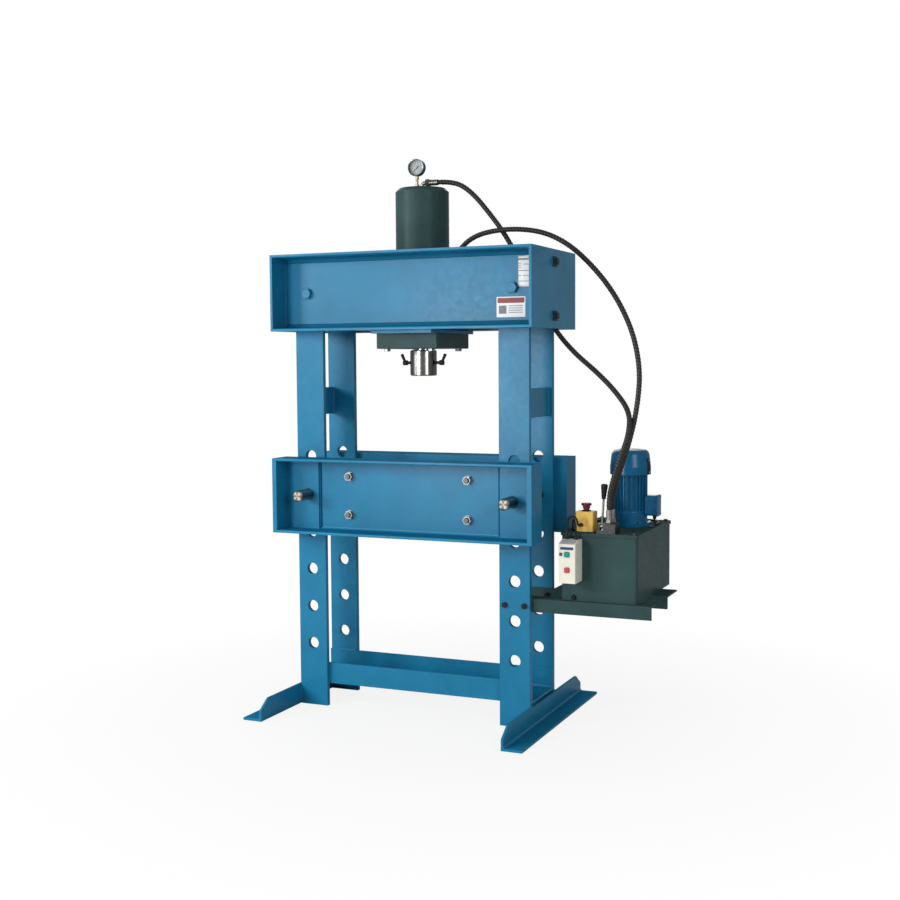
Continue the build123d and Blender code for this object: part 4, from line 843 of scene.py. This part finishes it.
# Motor starter: a cream moulded box on the front of the tank, with a green and a red push button.
# A plain blue strip runs across its face, with a small dark lamp beside the green button.
# A grey cover plate lies on the slope above its face.
cream_plastic = rubbery("cream_plastic", (0.75, 0.73, 0.64), rough=(0.4, 0.5), relief=0.06)
dress(cream_plastic, "starter_box")
green_plastic = rubbery("green_plastic", (0.02, 0.26, 0.19), rough=(0.26, 0.36), relief=0.03)
dress(green_plastic, "start_button")
red_plastic = rubbery("red_plastic", (0.50, 0.07, 0.08), rough=(0.26, 0.36), relief=0.03)
dress(red_plastic, "stop_button")
starter_face = -178
strip_blue = rubbery("strip_blue", (0.045, 0.055, 0.15), rough=(0.3, 0.4), relief=0.02)
plate("starter_strip", [(622, 686, 672, 696)], starter_face, 0.4, 1.5, strip_blue)
brow_middle = spot(647.5, -160, 712.2)
brow_rise = 12.0
brow_run = 36.0
brow_lean = math.atan2(brow_rise, brow_run)
brow = block((0.055, 0.033, 0.0012), 0.0005, 2)
brow.data.transform(Matrix.Translation(brow_middle) @ Matrix.Rotation(brow_lean, 4, "X"))
brow.name = "starter_brow"
brow_grey = rubbery("brow_grey", (0.42, 0.43, 0.42), rough=(0.4, 0.5), relief=0.05)
finish_piece(brow, brow_grey, "frame")
lamp_dark = rubbery("lamp_dark", (0.10, 0.09, 0.09), rough=(0.14, 0.22), relief=0.02)
plate("starter_lamp", [(619, 663, 630, 675)], starter_face, 1.6, 1.6, lamp_dark)

# Leads: two black rubber leads from the emergency stop and the motor to the starter.
# Each end goes through a screwed gland with a clamping cap.
cord_steps = 8
lead_radius = 0.0035


def cord_curve(name, route, radius, material):
    """A smooth line through a route's points, with a round section."""
    curve = bpy.data.curves.new(name, "CURVE")
    curve.dimensions = "3D"
    line = curve.splines.new("NURBS")
    line.points.add(len(route) - 1)
    for point, place in zip(line.points, route):
        point.co = (*spot(*place), 1.0)
    line.order_u = 3
    line.use_endpoint_u = True
    line.resolution_u = cord_steps
    curve.resolution_u = cord_steps
    curve.bevel_depth = radius
    curve.bevel_resolution = 4
    curve.use_fill_caps = True
    piece = bpy.data.objects.new(name, curve)
    scene.collection.objects.link(piece)
    curve.materials.append(material)
    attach(piece, "frame")
    return piece


estop_route = [
    (664.667, -74, 764.667), (664.6, -90, 765.5), (664.4, -103, 771), (664, -108, 785), (659.5, -111, 797),
    (648, -115, 802), (636.5, -119, 797), (632, -121, 785), (631.4, -121.3, 758), (631.25, -121, 730),
]
motor_route = [
    (877, 185, 767), (877, 187, 757), (877, 195.5, 746), (876.5, 216, 743.6), (873, 262, 743.6),
    (858, 316, 743.6), (822, 346, 743.6), (760, 354, 743.6), (690, 348, 743.6), (648, 318, 743.6),
    (634, 262, 743.6), (631, 180, 743.6), (634, 96, 743.6), (631, 12, 743.6), (632, -40, 743.6),
    (633, -60, 745.5), (635, -73, 755), (637.5, -80, 770), (643, -92, 785), (650, -104, 790),
    (656.5, -114, 783), (662, -120, 768), (663.6, -121.3, 750), (663.75, -121, 730),
]
gland_section = [
    (3.6, 0), (7.5, 0), (7.5, 4.5), (6.6, 4.9), (6.6, 5.6), (7.2, 6.0), (7.2, 9.5), (6.0, 11.4), (4.4, 12.6),
    (3.6, 12.6),
]
gland_seats = [
    ((664.667, -62, 764.667), (0, -1, 0)), ((877, 185, 779), (0, 0, -1)),
    ((631.25, -121, 718), (0, 0, 1)), ((663.75, -121, 718), (0, 0, 1)),
]
glands = [turned(gland_section, spot(*seat), axis, steps=24) for seat, axis in gland_seats]
lead_glands = finish_piece(join("lead_glands", glands), gauge_black, "frame")
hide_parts("control_leads")
lead_rubber = rubbery("lead_rubber", (0.013, 0.013, 0.014), rough=(0.36, 0.5), grain=500.0, relief=0.1)
for name, route, length in (("estop_lead", estop_route, 0.150), ("motor_lead", motor_route, 0.885)):
    lead = cord_curve(name, route, lead_radius, lead_rubber)
    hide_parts("control_leads")

# Hoses: two pressure hoses of black rubber from the cylinder's cap and side down to the valve.
# Each has a plastic spiral guard wound round it and crimped steel ends.
fitting_zinc = bare_metal(
    "fitting_zinc", (0.36, 0.35, 0.31), rough=(0.34, 0.5), streak=120.0, cut=0.08, deep=0.5,
)
dress(fitting_zinc, "hose_fittings")
hose_rubber = rubbery("hose_rubber", (0.022, 0.021, 0.020), rough=(0.42, 0.56), grain=420.0, relief=0.2)
guard_plastic = rubbery("guard_plastic", (0.034, 0.032, 0.030), rough=(0.2, 0.32), grain=300.0, relief=0.08)
hose_radius = 0.0088
extend_route = [
    (54, 30, 2064), (125, 30, 2064), (195, 36, 2018), (262, 50, 1935), (318, 60, 1858), (372, 66, 1762),
    (440, 70, 1616), (512, 80, 1490), (590, 82, 1400), (690, 57, 1325), (780, 2, 1252), (848, -55, 1180),
    (850, -84, 1100), (828, -98, 1030), (804, -99, 962), (786, -94, 900), (780, -90, 862), (780, -90, 828),
]
retract_route = [
    (130, -8, 1660), (130, -8, 1730), (158, -6, 1802), (222, -2, 1850), (318, 4, 1868), (420, 10, 1866),
    (510, 14, 1846), (595, 13, 1800), (672, 9, 1732), (745, 3, 1650), (806, -5, 1556), (852, -13, 1450),
    (876, -25, 1330), (872, -38, 1225), (858, -50, 1130), (834, -66, 1030), (810, -68, 960), (794, -66, 900),
    (784, -64, 862), (784, -64, 828),
]


def centre_line(piece):
    """Places along a cord's own smooth line."""
    bare = piece.copy()
    bare.data = piece.data.copy()
    bare.data.bevel_depth = 0.0
    scene.collection.objects.link(bare)
    bpy.context.view_layer.update()
    mesh = bpy.data.meshes.new_from_object(bare.evaluated_get(bpy.context.evaluated_depsgraph_get()))
    places = [corner.co.copy() for corner in mesh.vertices]
    bpy.data.objects.remove(bare)
    bpy.data.meshes.remove(mesh)
    return places


def along(places, distance):
    """Place and direction at a distance along a line."""
    for low, high in zip(places, places[1:]):
        step = (high - low).length
        if distance <= step or high is places[-1]:
            return low.lerp(high, min(1.0, distance / step)), (high - low).normalized()
        distance -= step


guard_width = 0.0095
guard_pitch = 0.0125
guard_thick = 0.0011
guard_sink = -0.0004
guard_gap = 0.012
guard_steps = 16
guard_section = [
    (-0.5, guard_sink), (-0.5, guard_thick * 0.6), (-0.3, guard_thick),
    (0.3, guard_thick), (0.5, guard_thick * 0.6), (0.5, guard_sink),
]


def spiral_guard(name, places, radius):
    """A flat plastic strip wound round a line, from one crimped end to the other."""
    length = sum((high - low).length for low, high in zip(places, places[1:]))
    count = int((length - 2.0 * guard_gap) / guard_pitch * guard_steps)
    points = []
    side = Vector((0.0, 1.0, 0.0))
    for step in range(count + 1):
        distance = guard_gap + step * guard_pitch / guard_steps
        angle = math.tau * step / guard_steps
        for shift, lift in guard_section:
            place, way = along(places, distance + shift * guard_width)
            across = (side - way * side.dot(way)).normalized()
            upward = way.cross(across)
            points.append(place + (across * math.cos(angle) + upward * math.sin(angle)) * (radius + lift))
        place, way = along(places, distance)
        side = (side - way * side.dot(way)).normalized()
    ring = len(guard_section)
    faces = []
    for low in range(0, count * ring, ring):
        for corner in range(ring):
            after = (corner + 1) % ring
            faces.append((low + corner, low + after, low + ring + after, low + ring + corner))
    faces.append(tuple(range(ring - 1, -1, -1)))
    faces.append(tuple(range(count * ring, (count + 1) * ring)))
    mesh = bpy.data.meshes.new(name)
    mesh.from_pydata(points, [], faces)
    piece = bpy.data.objects.new(name, mesh)
    scene.collection.objects.link(piece)
    bpy.ops.object.select_all(action="DESELECT")
    piece.select_set(True)
    bpy.context.view_layer.objects.active = piece
    edit_all()
    close_mesh()
    smooth(50.0)
    return piece


for name, route, length in (("extend_hose", extend_route, 1.625), ("retract_hose", retract_route, 1.689)):
    hose = cord_curve(name + "_line", route, hose_radius, hose_rubber)
    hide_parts(name)
    guard = spiral_guard(name + "_guard", centre_line(hose), hose_radius)
    finish_piece(guard, guard_plastic, "frame")
